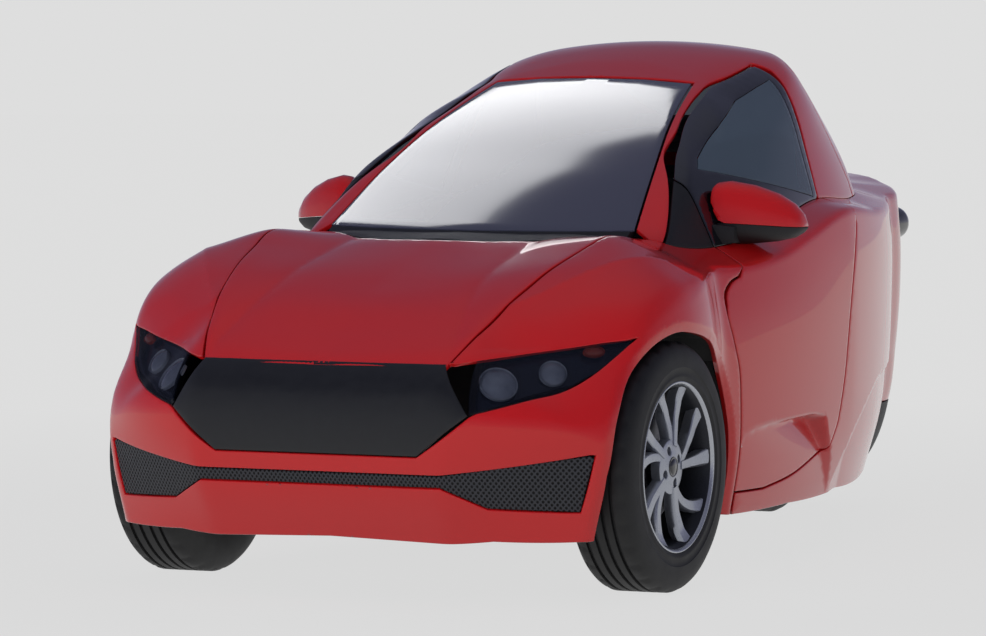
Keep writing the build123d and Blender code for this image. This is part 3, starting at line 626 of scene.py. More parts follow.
# ---- outlines (the same values as the solids')
ARCH = [(-332, 20), (-332, 304), (-302, 441), (-226, 545), (-122, 610), (-40, 630), (80, 622), (215, 588),
        (324, 528), (396, 388), (414, 261), (418, 20)]
NOSE = [(322, 572), (395, 453), (270, 355), (-270, 355), (-395, 453), (-322, 572)]
LAMP_LOW = [(398, 454), (462, 472), (520, 490), (575, 507), (619, 541), (651, 583), (679, 622)]
LAMP_TOP = [(679, 622), (624, 616), (563, 606), (503, 597), (444, 588), (386, 579), (330, 570)]
GRILLE = [(323, 308), (641, 355), (650, 350), (616, 222), (420, 230), (371, 255), (321, 280)]
BONNET = [(323, -496), (352, -424), (378, -340), (400, -248), (420, -135), (439, -11), (455, 90), (455, 180),
          (440, 260), (405, 275), (300, 190), (150, 115)]
BONNET_REAR_S = 95.0
SCREEN = [(421, 852), (371, 1000), (302, 1150), (277, 1198), (150, 1208)]
SCREEN_TOP_Z = 1211.0
FRIT, GRILLE_SUNK = 16.0, 3.0  # the black edge of the windscreen; how far the grille lies back
DOOR_FRONT = [(500, 738), (432, 718), (402, 690), (403, 662), (426, 583), (449, 512), (457, 400), (457, 206)]
DOOR_DECK = [(490, 600), (643, 522)]
DOOR_LOW = [(626, 203), (806, 222), (990, 257), (1052, 268)]
DOOR_REAR = [(1102, 332), (1140, 443), (1161, 539), (1190, 640), (1235, 760), (1275, 838)]
GLASS_TOP = [(360, 812), (670, 1040), (878, 1134), (1020, 1185), (1155, 1217), (1272, 1243)]
GLASS_REAR = [(1288, 1228), (1266, 1070), (1240, 905)]
FRAME_REAR = [(1256, 1238), (1269, 1216), (1262, 1100), (1240, 905)]
SAIL_REAR_S = 560.0
SIDE_PANE = [(654, 994), (690, 1020), (885, 1106), (1025, 1156), (1155, 1188), (1239, 1206), (1208, 905)]
HATCH_LINE = [(1450, 1236), (1560, 1075), (1655, 930)]
HATCH_GLASS = [(175, 1560), (245, 1700), (225, 1900), (150, 2120)]
BUMPER_LOW_Z = 150.0
SILL_Z = 148.0


def smooth_line(points, step=14.0):
    """An open line through the points with its corners eased."""
    p = np.array(points, float)
    if len(p) < 3:
        return dense(points, step, closed=False)
    d = np.concatenate([[0], np.cumsum(np.linalg.norm(np.diff(p, axis=0), axis=1))])
    at = np.linspace(0, d[-1], max(3, int(d[-1] / step)))
    return list(spline_rows(d, p, at))


# Where rays start: in the lower body upwards, forwards and backwards, then in the cabin
TOP_FROM, FRONT_FROM, BACK_FROM = 400.0, -60.0, 1900.0
SCREEN_FROM, ROOF_FROM, HATCH_FROM = 1300.0, 1000.0, 900.0
SIDE_SPAN, TAIL_SPAN, FOOT_HALVINGS = (60.0, 700.0), (1700.0, 2500.0), 22


def lift(form, points, axis, start, sign):
    """Puts flat points onto the form by rays along one axis."""
    a = np.insert(np.array(points, float), axis, start, axis=1)
    way = np.zeros_like(a)
    way[:, axis] = sign
    return list(cast(form, a, way))


def on_side(points, form=lower):
    return lift(form, points, 0, 0.0, 1.0)


def on_top(points, form=lower, start=TOP_FROM):
    return lift(form, points, 2, start, 1.0)


def on_front(points, form=lower, start=FRONT_FROM):
    return lift(form, points, 1, start, -1.0)


def on_back(points):
    return lift(lower, points, 1, BACK_FROM, 1.0)


def on_deck(x, s):
    return np.stack([x, s, TOP.table(s, x)], axis=1)


def cabin_foot(at, span, n):
    """Where lines over the deck, from the low to the high end of a span, leave the cabin."""
    lo, hi = (np.full(n, end) for end in span)
    for _ in range(FOOT_HALVINGS):
        mid = (lo + hi) / 2
        out = upper(at(mid)) > 0
        hi, lo = np.where(out, mid, hi), np.where(out, lo, mid)
    return list(at(lo))


def belt(stations):
    """The line where the cabin's side stands on the lower body."""
    s = np.array(stations, float)
    return cabin_foot(lambda x: on_deck(x, s), SIDE_SPAN, len(s))


def tail_belt(xs):
    """The belt line round the tail, from the side to the centre line."""
    x = np.array(xs, float)
    return cabin_foot(lambda s: on_deck(x, s), TAIL_SPAN, len(x))


def grow(points, amount):
    """Moves every side of a closed outline outwards by the amount."""
    p = np.array(points, float)
    a, b = np.roll(p, 1, 0), np.roll(p, -1, 0)
    area = (p[:, 0] * b[:, 1] - b[:, 0] * p[:, 1]).sum()
    u, v = p - a, b - p
    nu = np.stack([u[:, 1], -u[:, 0]], 1) / (np.linalg.norm(u, axis=1)[:, None] + 1e-9) * np.sign(area)
    nv = np.stack([v[:, 1], -v[:, 0]], 1) / (np.linalg.norm(v, axis=1)[:, None] + 1e-9) * np.sign(area)
    k = np.maximum(1 + (nu * nv).sum(1), 0.5)[:, None]
    return list(p + (nu + nv) / k * amount)


# ---- outline of the front clip
lamp_loop = LAMP_LOW + LAMP_TOP[1:-1]
arch_line = smooth_line([q for q in ARCH if q[1] > 100])
arch_line = [(-332, SILL_Z + 2)] + [q for q in arch_line if q[1] > SILL_Z + 10] + [(417, SILL_Z + 2)]


def deck_line(off):
    """The outer part of the shut line over the shoulder, moved back by the given distance."""
    return on_top([(x, s + off) for x, s in smooth_line(DOOR_DECK)])[6:]


clip_loop = (
    on_front([(0, 352), (269, 352), (398, 450)] + smooth_line(LAMP_LOW)[1:-1] + [(684, 626)]
             + smooth_line(LAMP_TOP)[1:-1] + [(328, 574)])
    + on_top([(x + 5, s) for x, s in smooth_line(BONNET[:8])][1:] + [(446, 262), (424, 300), (428, 340)])
    + belt(np.linspace(392, 562, 26)) + deck_line(-4)
    + on_side([(s - 5, z + 3) for s, z in smooth_line(DOOR_FRONT)][1:])
    + on_side([(451, SILL_Z)] + list(reversed(arch_line)))
    + on_front([(610, BUMPER_LOW_Z), (420, BUMPER_LOW_Z), (0, BUMPER_LOW_Z), (0, 278)]
               + [(x, z - 2) for x, z in reversed(GRILLE[2:])]
               + [(653, 357), (641, 358), (323, 311), (0, 311)]))

# ---- pressed forms of the panels
ARCH_BAND, ARCH_TURN, ARCH_LOW_X = 20.0, 7.0, 500
RIDGE_DEPTH, RIDGE_SOFT, RIDGE_WIDTH, RIDGE_LOW_Z = 5.0, 28, 110, 600
WING_RIDGE = [(400, -290), (450, -228), (500, -150), (546, -72), (590, 10), (628, 100)]
BONNET_CREASE = [(320, -480), (318, -440), (298, -360), (283, -290), (268, -200), (262, -114), (255, 0),
                 (248, 150)]
BONNET_DIP, BONNET_SOFT = 5.0, 32
SCOOP_TOP = [(446, 292), (455, 320), (480, 348), (540, 360), (636, 366), (810, 368), (940, 366), (1000, 357)]
SCOOP_END = [(1000, 357), (1012, 340), (1062, 264), (1098, 180), (1108, 150)]
SCOOP_DEPTH = [(150, 0), (180, 2), (264, 18), (356, 48)]
SCOOP_RUN = [(150, 2), (180, 4), (264, 20), (356, 45)]
SCOOP_LIP, SCOOP_RISE, SCOOP_LOW_X = 8.0, 1.25, 300
QUARTER = [(1130, 150), (1146, 180), (1188, 222), (1290, 306), (1416, 366), (1560, 414), (1900, 436),
           (2300, 440)]
QUARTER_DEPTH, QUARTER_STEP, QUARTER_FADES = 13.0, 14.0, (130, 500)


def curve(x, points):
    return np.interp(x, [q[0] for q in points], [q[1] for q in points])


def line_distance(q, line):
    """Distance of flat points from an open line."""
    line = np.array(line, float)
    best = np.full(len(q), 1e9)
    for a, b in zip(line[:-1], line[1:]):
        d = b - a
        t = np.clip(((q - a) @ d) / (d @ d), 0, 1)
        best = np.minimum(best, np.hypot(*(q - a - t[:, None] * d).T))
    return best


def arch_form(p, n):
    """The band round the wheel arch, turned in from its crease, and the soft ridge over the wing."""
    near = line_distance(p[:, 1:], arch_line)
    turn = ARCH_TURN * np.clip(1 - near / ARCH_BAND, 0, 1) * (p[:, 0] > ARCH_LOW_X)
    d = line_distance(p[:, :2], WING_RIDGE)
    ridge = RIDGE_DEPTH * (1 - np.exp(-d / RIDGE_SOFT)) * np.exp(-(d / RIDGE_WIDTH) ** 2)
    return p - n * (turn + ridge * (p[:, 2] > RIDGE_LOW_Z))[:, None]


def bonnet_form(p, n):
    """The low middle of the bonnet meets its raised sides in a crease."""
    q = np.stack([abs(p[:, 0]), p[:, 1]], axis=1)
    return p - n * (BONNET_DIP * np.exp(-line_distance(q, BONNET_CREASE) / BONNET_SOFT))[:, None]


def scoop_end(z):
    return curve(-z, [(-b, a) for a, b in SCOOP_END])


def side_form(p, n):
    """The scoop along the door's foot with its end wall, and the step under the rear quarter."""
    s, z = p[:, 1], p[:, 2]
    end, run = scoop_end(z), curve(z, SCOOP_RUN)
    first = SCOOP_TOP[0][0]
    ramp = np.clip((s - first) / (end - run - first), 0, 1) ** SCOOP_RISE
    below = np.clip((curve(s, SCOOP_TOP) - z) / SCOOP_LIP, 0, 1)
    q = p.copy()
    q[:, 0] -= curve(z, SCOOP_DEPTH) * below * ramp * np.clip((end - s) / run, 0, 1) * (p[:, 0] > SCOOP_LOW_X)
    step = np.clip((curve(s, QUARTER) - z) / QUARTER_STEP, 0, 1)
    step *= np.clip((s - QUARTER[0][0]) / QUARTER_FADES[0], 0, 1)
    step *= np.clip((QUARTER[-1][0] - s) / QUARTER_FADES[1], 0, 1)
    return q - n * (QUARTER_DEPTH * step)[:, None]


band_line = [q for q in grow(arch_line, ARCH_BAND) if q[1] > SILL_Z + 12]
scoop_lines = [SCOOP_TOP, [(s, z - SCOOP_LIP) for s, z in SCOOP_TOP], SCOOP_END,
               [(scoop_end(z) - curve(z, SCOOP_RUN), z) for z in (352, 320, 264, 220, 180, 156)]]
quarter_lines = [QUARTER[1:], [(s, z - QUARTER_STEP) for s, z in QUARTER[1:]]]


def creases(lines, step=10.0):
    """Lines (s, z) put onto the side as edges that the mesh follows."""
    return [on_side(dense(smooth_line(line, step), step, closed=False)) for line in lines]


# ---- materials
def srgb(r, g, b):
    return tuple(((c / 255 + 0.055) / 1.055) ** 2.4 if c > 10 else c / 255 / 12.92
                 for c in (r, g, b)) + (1.0,)


def node(tree, kind, inputs, **settings):
    """Adds a shader node; each input gets a value, or a link from another node's output."""
    new = tree.nodes.new("ShaderNode" + kind)
    for key, value in settings.items():
        setattr(new, key, value)
    for key, value in inputs.items():
        if isinstance(value, bpy.types.NodeSocket):
            tree.links.new(value, new.inputs[key])
        else:
            new.inputs[key].default_value = value
    return new


def ramp(tree, fac, stops):
    new = node(tree, "ValToRGB", {"Fac": fac})
    for _ in stops[2:]:
        new.color_ramp.elements.new(0.5)
    for el, (at, colour) in zip(new.color_ramp.elements, stops):
        el.position, el.color = at, colour
    return new.outputs["Color"]


class Mat:
    """A node material built step by step round one Principled shader."""

    def __init__(self, name, **sockets):
        self.mat = bpy.data.materials.new(name)
        self.mat.use_nodes = True
        self.tree = self.mat.node_tree
        self.shader = self.tree.nodes["Principled BSDF"]
        for key, value in sockets.items():
            self.shader.inputs[key.replace("_", " ")].default_value = value
        self.coord = node(self.tree, "TexCoord", {}).outputs["Object"]
        self.height = None

    def noise(self, scale, detail=3.0, rough=0.55):
        return node(self.tree, "TexNoise", {"Vector": self.coord, "Scale": scale, "Detail": detail,
                                            "Roughness": rough}).outputs["Fac"]

    def wave(self, scale, axis="X", distortion=0.0, turn=0.0):
        turned_to = node(self.tree, "Mapping", {"Vector": self.coord, "Rotation": (0, math.radians(turn), 0)})
        return node(self.tree, "TexWave", {"Vector": turned_to.outputs["Vector"], "Scale": scale,
                                           "Distortion": distortion}, bands_direction=axis).outputs["Fac"]

    def ramp(self, fac, stops):
        return ramp(self.tree, fac, stops)

    def spread(self, fac, low, high):
        return node(self.tree, "MapRange", {"Value": fac, "To Min": low, "To Max": high}).outputs["Result"]

    def math(self, op, a, b):
        return node(self.tree, "Math", {0: a, 1: b}, operation=op).outputs[0]

    def link(self, out, socket):
        self.tree.links.new(out, self.shader.inputs[socket])

    def bump(self, fac, distance):
        below = {} if self.height is None else {"Normal": self.height}
        bumps = node(self.tree, "Bump", {"Height": fac, "Distance": distance, **below})
        self.height = bumps.outputs["Normal"]
        self.link(self.height, "Normal")

    def blend(self, fac, first, second):
        """Makes the surface a mix of two shaders."""
        mix = node(self.tree, "MixShader", {0: fac, 1: first.outputs[0], 2: second.outputs[0]})
        self.tree.links.new(mix.outputs[0], self.tree.nodes["Material Output"].inputs["Surface"])
        return self


def dappled(name, dark, light, scale, rough, bump=0.0, bump_scale=None, **sockets):
    """A moulded surface: colour, gloss and grain vary a little."""
    m = Mat(name, **sockets)
    fac = m.noise(scale)
    m.link(m.ramp(fac, [(0.3, srgb(*dark)), (0.7, srgb(*light))]), "Base Color")
    m.link(m.spread(fac, *rough), "Roughness")
    if bump:
        m.bump(m.noise(bump_scale or scale * 6), bump)
    return m


ORANGE_PEEL = 0.00004  # bump depths are in metres
paint = dappled("body_paint", (170, 15, 18), (176, 17, 20), 900, (0.3, 0.34), Coat_Weight=0.85,
                Coat_Roughness=0.03, Specular_IOR_Level=0.12)
paint.bump(paint.noise(60, 1.0), ORANGE_PEEL)
matt_black = dappled("matt_black_panel", (13, 14, 17), (19, 20, 23), 40, (0.42, 0.5), 0.00006, 900)
gloss_black = dappled("gloss_black", (6, 7, 10), (10, 11, 15), 30, (0.08, 0.14), Coat_Weight=0.6)
trim_black = dappled("moulded_trim", (10, 10, 12), (16, 16, 18), 60, (0.5, 0.62), 0.00012, 1400)
liner_black = dappled("liner_plastic", (9, 9, 10), (15, 15, 16), 30, (0.65, 0.8), 0.0002, 500)
rubber = dappled("tyre_rubber", (8, 8, 9), (13, 13, 14), 25, (0.55, 0.72), 0.0001, 700)
alloy = dappled("alloy_paint", (150, 154, 164), (166, 170, 179), 300, (0.25, 0.33), Metallic=0.75)
alloy_lip = dappled("alloy_lip", (168, 171, 178), (180, 183, 189), 300, (0.2, 0.26), Metallic=0.8)
# The rim's barrel is coloured near black: painted shade inside the wheel.
barrel_painted_shade = dappled("rim_barrel", (30, 32, 37), (40, 42, 48), 300, (0.4, 0.5), Metallic=0.6)
# A darker copy of the alloy for the spokes' bevels, sides and backs: painted shade.
alloy_dark = dappled("alloy_dark", (44, 47, 55), (56, 59, 67), 300, (0.34, 0.42), Metallic=0.6)
steel = dappled("bare_steel", (96, 96, 100), (130, 130, 134), 90, (0.3, 0.45), Metallic=1.0)
cast_iron = dappled("coated_metal", (38, 39, 42), (58, 59, 62), 50, (0.5, 0.66), 0.0002, 260,
                    Metallic=0.5)
carpet = dappled("carpet", (16, 16, 18), (34, 34, 37), 700, (0.9, 1.0), 0.0012, 1300,
                 Sheen_Weight=0.2)
soft_black = dappled("soft_dashboard", (18, 19, 22), (26, 27, 30), 40, (0.6, 0.72), 0.00025, 700)
case = dappled("battery_case", (40, 42, 46), (52, 54, 58), 22, (0.45, 0.55), 0.0002, 150)

mesh_black = Mat("grille_mesh", Specular_IOR_Level=0.3)
strand = mesh_black.math("MULTIPLY", *[mesh_black.wave(34, turn=turn) for turn in (38, -38)])
mesh_black.link(mesh_black.ramp(strand, [(0.12, srgb(46, 47, 51)), (0.4, srgb(8, 8, 9))]), "Base Color")
mesh_black.link(mesh_black.spread(strand, 0.5, 0.8), "Roughness")
mesh_black.bump(strand, -0.002)

fabric = Mat("seat_fabric", Sheen_Weight=0.3, Specular_IOR_Level=0.3)
weave = fabric.math("MULTIPLY", *[fabric.wave(260, axis, 0.4) for axis in "XY"])
fabric.link(fabric.ramp(weave, [(0.1, srgb(20, 20, 23)), (0.7, srgb(52, 53, 58))]), "Base Color")
fabric.link(fabric.spread(weave, 0.95, 0.8), "Roughness")
fabric.bump(weave, 0.0005)

red_glass = dappled("tail_lens", (60, 2, 6), (86, 4, 9), 500, (0.05, 0.09), Coat_Weight=1.0)
amber = dappled("indicator_lens", (108, 36, 26), (130, 48, 32), 300, (0.12, 0.2), 0.0002, 500)
lens = dappled("lamp_lens", (88, 92, 104), (122, 126, 137), 14, (0.1, 0.16), Coat_Weight=1.0)
lamp_dark = dappled("lamp_housing", (14, 18, 30), (20, 24, 36), 24, (0.2, 0.3))


def faded(colour, part):
    return tuple(c * part for c in colour[:3]) + (1.0,)


def clear(name, tint, haze, rough=0.02, weight=0.75):
    """Tinted glazing in a thin sheet: what is behind shows through darkened, and the face mirrors."""
    m = Mat(name, Roughness=rough, IOR=1.52)
    m.link(m.ramp(m.noise(3.0, 2.0, 0.5), [(0, faded(haze, 0.92)), (1, haze)]), "Base Color")
    return m.blend(weight, node(m.tree, "BsdfTransparent", {"Color": tint}), m.shader)


screen_glass = clear("windscreen_glass", srgb(120, 120, 135), srgb(70, 72, 92), 0.11, 0.7)
side_glass = clear("side_glass_tint", srgb(120, 128, 140), srgb(78, 92, 108), weight=0.7)
lamp_glass = clear("lamp_cover", srgb(215, 218, 226), srgb(20, 24, 36), weight=0.25)


def dress(obj, material):
    obj.data.materials.clear()
    obj.data.materials.append(material.mat)
    return obj


def placed(obj, material, body, *nodes):
    dress(obj, material)
    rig.ride(obj, body)
    if nodes:
        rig.replaces(obj, *nodes)
    return obj


# ---- the panels themselves
SIDES = (("left", False), ("right", True))  # the side, and whether it is the mirrored one
# An axis, where rays along it start, their sign
FORWARD, SCREEN_WAY = (1, FRONT_FROM, -1.0), (1, SCREEN_FROM, -1.0)
BONNET_WAY, HATCH_WAY, OUTWARD = (2, TOP_FROM, 1.0), (2, HATCH_FROM, 1.0), (0, 0.0, 1.0)
FRONT_VIEW = ((0, 0, 400), (0.75, -0.65, 0.15), (0, 0, 1))
REAR_VIEW = ((0, 1700, 450), (0.8, 0.3, 0.1), (0, 0, 1))
CABIN_VIEW = ((0, 1250, 950), (0.8, 0.0, 0.6), (0, 0, 1))
HATCH_VIEW = ((0, 1600, 900), (0.5, 0.6, 0.6), (0, 0, 1))
DOOR_VIEW = ((0, 800, 500), (1, 0, 0.25), (0, 0, 1))


def both_ways(half):
    """A line of (x, second) from the side to the middle, carried on to the other side."""
    return [(-x, q) for x, q in half[:-1]] + list(reversed(half))


panel("front_clip_skin", paint, "car_body", "front_clip", lower, [clip_loop], FRONT_VIEW, half=True,
      shape=arch_form, creases=[on_side(band_line), on_top(smooth_line(WING_RIDGE))])
panel("nose_panel_skin", matt_black, "car_body", "nose_panel", lower, [on_front(NOSE)], FORWARD, step=12)
bonnet_edge = smooth_line(BONNET) + [(0, BONNET_REAR_S)]
fold = smooth_line(BONNET_CREASE[1:-1])
panel("bonnet_skin", paint, "bonnet_body", "bonnet", lower, [on_top(both_ways(bonnet_edge))], BONNET_WAY,
      step=12, shape=bonnet_form, creases=[on_top(fold), on_top([(-x, s) for x, s in fold])])
grille_all = [(-x, z) for x, z in reversed(GRILLE)] + GRILLE
panel("lower_grille_skin", mesh_black, "car_body", "lower_grille", lower, [on_front(grille_all)], FORWARD,
      step=12, shape=lambda p, n: p - n * GRILLE_SUNK)
LAMP_DEPTH = 26.0
# name, centre, way it faces, half width, half height, how far it is sunk
LENSES = [("main_lens", (446, -449, 536), (0.49, -0.60, 0.64), 47, 47, 15),
          ("side_lens", (540, -350, 556), (0.45, -0.69, 0.57), 34, 34, 15),
          ("indicator", (608, -266, 600), (0.54, -0.68, 0.49), 27, 14, 9)]
# part of the radius, height over the rim; the first rows are the ring round the lens
LENS_ROWS = ((1.0, -8), (1.0, 0), (0.97, 1.5), (0.94, 0.5), (0.92, -2.5), (0.86, -1), (0.6, 4), (0.3, 7),
             (0.02, 8))
RING_ROWS, LENS_SIDES = 4, 48


def lamp_floor(p):
    return lower(p) + LAMP_DEPTH


def lens_dome(centre, n, rx, rz, sunk):
    """A low round lens in a thin ring, sunk under the cover."""
    n = np.array(n) / np.linalg.norm(n)
    u = np.cross((0, 0, 1), n)
    u /= np.linalg.norm(u)
    v = np.cross(n, u)
    around = np.linspace(0, 2 * math.pi, LENS_SIDES, endpoint=False)
    verts, faces = rows_mesh([[np.array(centre) - n * (sunk - h) + u * rx * r * math.cos(q)
                               + v * rz * r * math.sin(q) for q in around] for r, h in LENS_ROWS])
    return verts, faces, [1 if f < RING_ROWS * LENS_SIDES else 0 for f in range(len(faces))]


for side, flip in SIDES:
    panel(f"headlamp_cover_{side}", lamp_glass, "car_body", f"headlamp_{side}", lower, [on_front(lamp_loop)],
          FORWARD, mirror=flip, flange=6)
    panel(f"headlamp_bowl_{side}", lamp_dark, "car_body", None, lamp_floor,
          [on_front(grow(lamp_loop, -2.0), lamp_floor)], FORWARD, step=12, mirror=flip, edge_r=1,
          flange=3.0 - LAMP_DEPTH)
    for name, *dome in LENSES:
        verts, faces, slots = lens_dome(*dome)
        verts, faces = mirrored(verts, faces, flip)
        obj = mesh_object(f"{name}_{side}", to_metres(verts), faces, 40, slots)
        placed(obj, amber if name == "indicator" else lens, "car_body").data.materials.append(lamp_dark.mat)

DOOR_NOSE, NOSE_Z, NOSE_RUN = 9.0, 646, 30  # the shut line opens by this over the fender's crown
door_front = [(s + DOOR_NOSE * min(max((z - NOSE_Z) / NOSE_RUN, 0), 1), z)
              for s, z in smooth_line(DOOR_FRONT)]
door_low, door_rear = smooth_line(DOOR_LOW), smooth_line(DOOR_REAR)
door_loop = (on_side(door_front[1:] + door_low + door_rear) + belt(np.linspace(1275, 572, 80))[1:]
             + deck_line(0))
for side, flip in SIDES:
    panel(f"door_skin_{side}", paint, f"door_body_{side}", f"door_{side}", lower, [door_loop], DOOR_VIEW,
          mirror=flip, shape=side_form, creases=creases(scoop_lines))

tail_line = tail_belt(np.linspace(232, 0, 24))
rear_loop = ([(0, 2558, 300)] + on_back([(x, 300) for x in (60, 120, 160)])
             + on_side([(s, 300) for s in (2480, 2400, 2300, 2200, 2121)])
             + on_side([(s, SILL_Z) for s in (2121, 1700, 1200, 800, 463)] + [(463, 201)])
             + on_side([(s, z - 5) for s, z in door_low] + [(s + 5, z) for s, z in door_rear])
             + belt(np.linspace(1282, 2180, 90)) + tail_line)
panel("rear_body_skin", paint, "car_body", "rear_body", lower, [rear_loop], REAR_VIEW, step=11, half=True,
      shape=side_form, creases=creases(scoop_lines + quarter_lines))

glass_top, glass_rear = smooth_line(GLASS_TOP), smooth_line(GLASS_REAR)
sail_top = [q for q in glass_top if q[0] < SAIL_REAR_S]
sail_top.append((SAIL_REAR_S, float(np.interp(SAIL_REAR_S, *zip(*glass_top)))))
frame_top = ([(SAIL_REAR_S + SHUT_GAP, sail_top[-1][1] + 3)]
             + [q for q in glass_top if SAIL_REAR_S + 12 < q[0] < 1250])
frame_loop = (on_side(frame_top + smooth_line(FRAME_REAR), upper)
              + belt(np.linspace(1240, SAIL_REAR_S + SHUT_GAP, 60))[1:])
sail_loop = on_side(sail_top, upper) + belt(np.linspace(SAIL_REAR_S, 372, 24))[:-1]
for side, flip in SIDES:
    door = f"door_body_{side}"
    panel(f"window_surround_{side}", gloss_black, door, f"window_frame_{side}", upper,
          [frame_loop, on_side(SIDE_PANE, upper)], OUTWARD, mirror=flip, step=10)
    panel(f"mirror_sail_{side}", trim_black, "car_body", None, upper, [sail_loop], OUTWARD, mirror=flip,
          step=10)
    panel(f"side_pane_{side}", side_glass, door, f"side_glass_{side}", upper,
          [on_side(grow(SIDE_PANE, -1.0), upper)], OUTWARD, mirror=flip, step=14, flange=4, edge_r=1)

screen_half = smooth_line(SCREEN[:4]) + [(150, 1208), (0, SCREEN_TOP_Z)]
pane = panel("windscreen_pane", screen_glass, "car_body", "windscreen", upper,
             [on_front(both_ways(screen_half), upper, SCREEN_FROM)], SCREEN_WAY, step=14, flange=5,
             edge_r=1.5, band=FRIT)
pane.data.materials.append(gloss_black.mat)

hatch_line = smooth_line(HATCH_LINE)
screen_rim = [(0, SCREEN_TOP_Z + 4)] + [(x + 4, z + 3) for x, z in reversed(screen_half[:-1])]
roof_loop = (on_front(screen_rim, upper, SCREEN_FROM) + belt(np.linspace(352, 372, 3))
             + on_side([(s - 2, z + 4) for s, z in glass_top] + [(s + 5, z) for s, z in glass_rear], upper)
             + belt(np.linspace(1250, 1650, 40))
             + on_side([(s - 4, z) for s, z in reversed(hatch_line)], upper)
             + on_top([(x, 1446) for x in (240, 160, 80, 0)], upper, ROOF_FROM))
panel("roof_skin", paint, "car_body", "roof_frame", upper, [roof_loop], CABIN_VIEW, step=11, half=True)

glass_half = smooth_line([(0, 1560)] + HATCH_GLASS + [(0, 2120)])
hatch_loop = (on_top([(x, 1452) for x in (0, 80, 160, 240)], upper, ROOF_FROM)
              + on_side([(s + 3, z) for s, z in hatch_line], upper) + belt(np.linspace(1660, 2180, 60))
              + tail_line + on_top(list(reversed(glass_half)), upper, HATCH_FROM))
panel("hatch_skin", paint, "hatch_body", "hatch", upper, [hatch_loop], HATCH_VIEW, step=11, half=True)
panel("hatch_pane", side_glass, "hatch_body", "hatch_glass", upper,
      [on_top(both_ways(glass_half)[1:], upper, HATCH_FROM)], HATCH_WAY, step=16, flange=5, edge_r=1.5)

# ---- wheels (mm, about the axle, outer face +x)
SHOULDER_X, SHOULDER_R = 46, TYRE_R - 8  # the tread's blocks are cut outside these


def turned(profile, n=96, notch=0, depth=0.0, closed=True):
    """Revolves (x, r) points about x; in every notch-th row the points at a shoulder are let in."""
    p = np.array(profile, float)
    rows = []
    for i in range(n):
        a = 2 * math.pi * i / n
        r = p[:, 1].copy()
        if notch and i % notch == 0:
            r[(np.abs(p[:, 0]) > SHOULDER_X) & (p[:, 1] > SHOULDER_R)] -= depth
        rows.append(np.stack([p[:, 0], r * math.cos(a), r * math.sin(a)], axis=1))
    return np.concatenate(rows), grid_faces(n, len(p), closed)


TREAD = TYRE_R - 1.2
GROOVES, GROOVE_DEPTH = (-40, -14, 14, 40), 7
tread_line = [(c + x, TREAD - r) for c in GROOVES
              for x, r in ((-5, 0), (-3.6, GROOVE_DEPTH), (3.6, GROOVE_DEPTH), (5, 0))]
TYRE_LINE = ([(-74, 197), (-83, 203), (-86, 216), (-88, 240), (-87, 262), (-81, 283), (-74, 294), (-68, 299),
              (-60, TREAD)] + tread_line
             + [(60, TREAD), (68, 299), (74, 294), (81, 283), (84.5, 272), (86.6, 262), (87.6, 246),
                (88, 240), (86.4, 238), (86.6, 222), (87.4, 220), (87, 215), (84, 209), (82, 203), (74, 197)])
LIP_LINE = [(74, 204), (80, 207.4), (84, 206.6), (84.6, 203.5), (82, 200.5), (77, 198), (70, 196)]
BARREL_LINE = [(77, 197.5), (72, 193), (60, 189), (20, 181), (-20, 178), (-66, 186), (-80, 197), (-83, 206),
               (-78, 207), (-72, 194), (-20, 184), (20, 187), (60, 194), (76, 198.5)]
CAP_LINE = [(60, 25), (68, 25), (70, 23.5), (69.5, 20), (71, 18), (72.5, 9), (73, 0.3)]
SPOKE_LEFT = [(52, 0.19), (76, 0.15), (110, 0.125), (160, 0.13), (199, 0.16)]
SPOKE_RIGHT = [(52, -0.27), (76, -0.19), (110, -0.13), (160, -0.09), (199, -0.07)]
SPOKE_FACE = [(52, 0), (80, -3), (120, -6), (170, -3), (190, 4)]  # r, x from the front
SPOKE_IN, SPOKE_OUT, SPOKE_LIP_X, LEAN_R = 52, 199, 76, 192
SPOKES, SPOKE_PAIR, LUGS, LUG_R, LUG_TURN = 5, 0.62, 4, 42.0, 0.4
LUG_AT = [(LUG_R * math.cos(a), LUG_R * math.sin(a))
          for a in (i * 2 * math.pi / LUGS + LUG_TURN for i in range(LUGS))]
HUB_R, HUB_FACE_X = 66, 66


def spoke(turn, lean, front):
    """One swirled spoke: a flat face with a bevel down its trailing side; the bevel, the sides and the back take a
    darker copy of the alloy as painted shade.
    """
    r = np.linspace(SPOKE_IN, SPOKE_OUT, 19)
    left, right = (spline_rows([q[0] for q in edge], [[q[1]] for q in edge], r)[:, 0]
                   for edge in (SPOKE_LEFT, SPOKE_RIGHT))
    face = curve(r, [(a, front + b) for a, b in SPOKE_FACE] + [(SPOKE_OUT, SPOKE_LIP_X)])
    rows = []
    for ri, a, b, f in zip(r, left, right, face):
        w = a - b
        line = [(a - 0.02 * w, f - 27), (a, f - 3), (a - 0.06 * w, f), (a - 0.5 * w, f + 0.6),
                (b + 0.22 * w, f), (b + 0.17 * w, f - 1.5), (b + 0.03 * w, f - 12), (b + 0.08 * w, f - 27)]
        ang = [q + lean * ri / LEAN_R + turn for q, _ in line]
        rows.append([(x, ri * math.cos(g), ri * math.sin(g)) for g, (_, x) in zip(ang, line)])
    verts, faces = rows_mesh(rows)
    # the face rows take the bright alloy, the bevel, sides, back and ends the darker copy as painted shade
    slots = [0 if f < len(faces) - 2 and f % 8 in (1, 2, 3) else 1 for f in range(len(faces))]
    return verts, faces, slots


def joined(parts):
    verts, faces, slots, at = [], [], [], 0
    for v, f, s in parts:
        verts.append(v)
        faces += [[i + at for i in q] for q in f]
        slots += s if isinstance(s, list) else [s] * len(f)
        at += len(v)
    return np.concatenate(verts), faces, slots


def circle(r, n, centre=(0.0, 0.0), turn=0.0):
    a = np.linspace(0, 2 * math.pi, n, endpoint=False) + turn
    return np.stack([centre[0] + r * np.cos(a), centre[1] + r * np.sin(a)], axis=1)


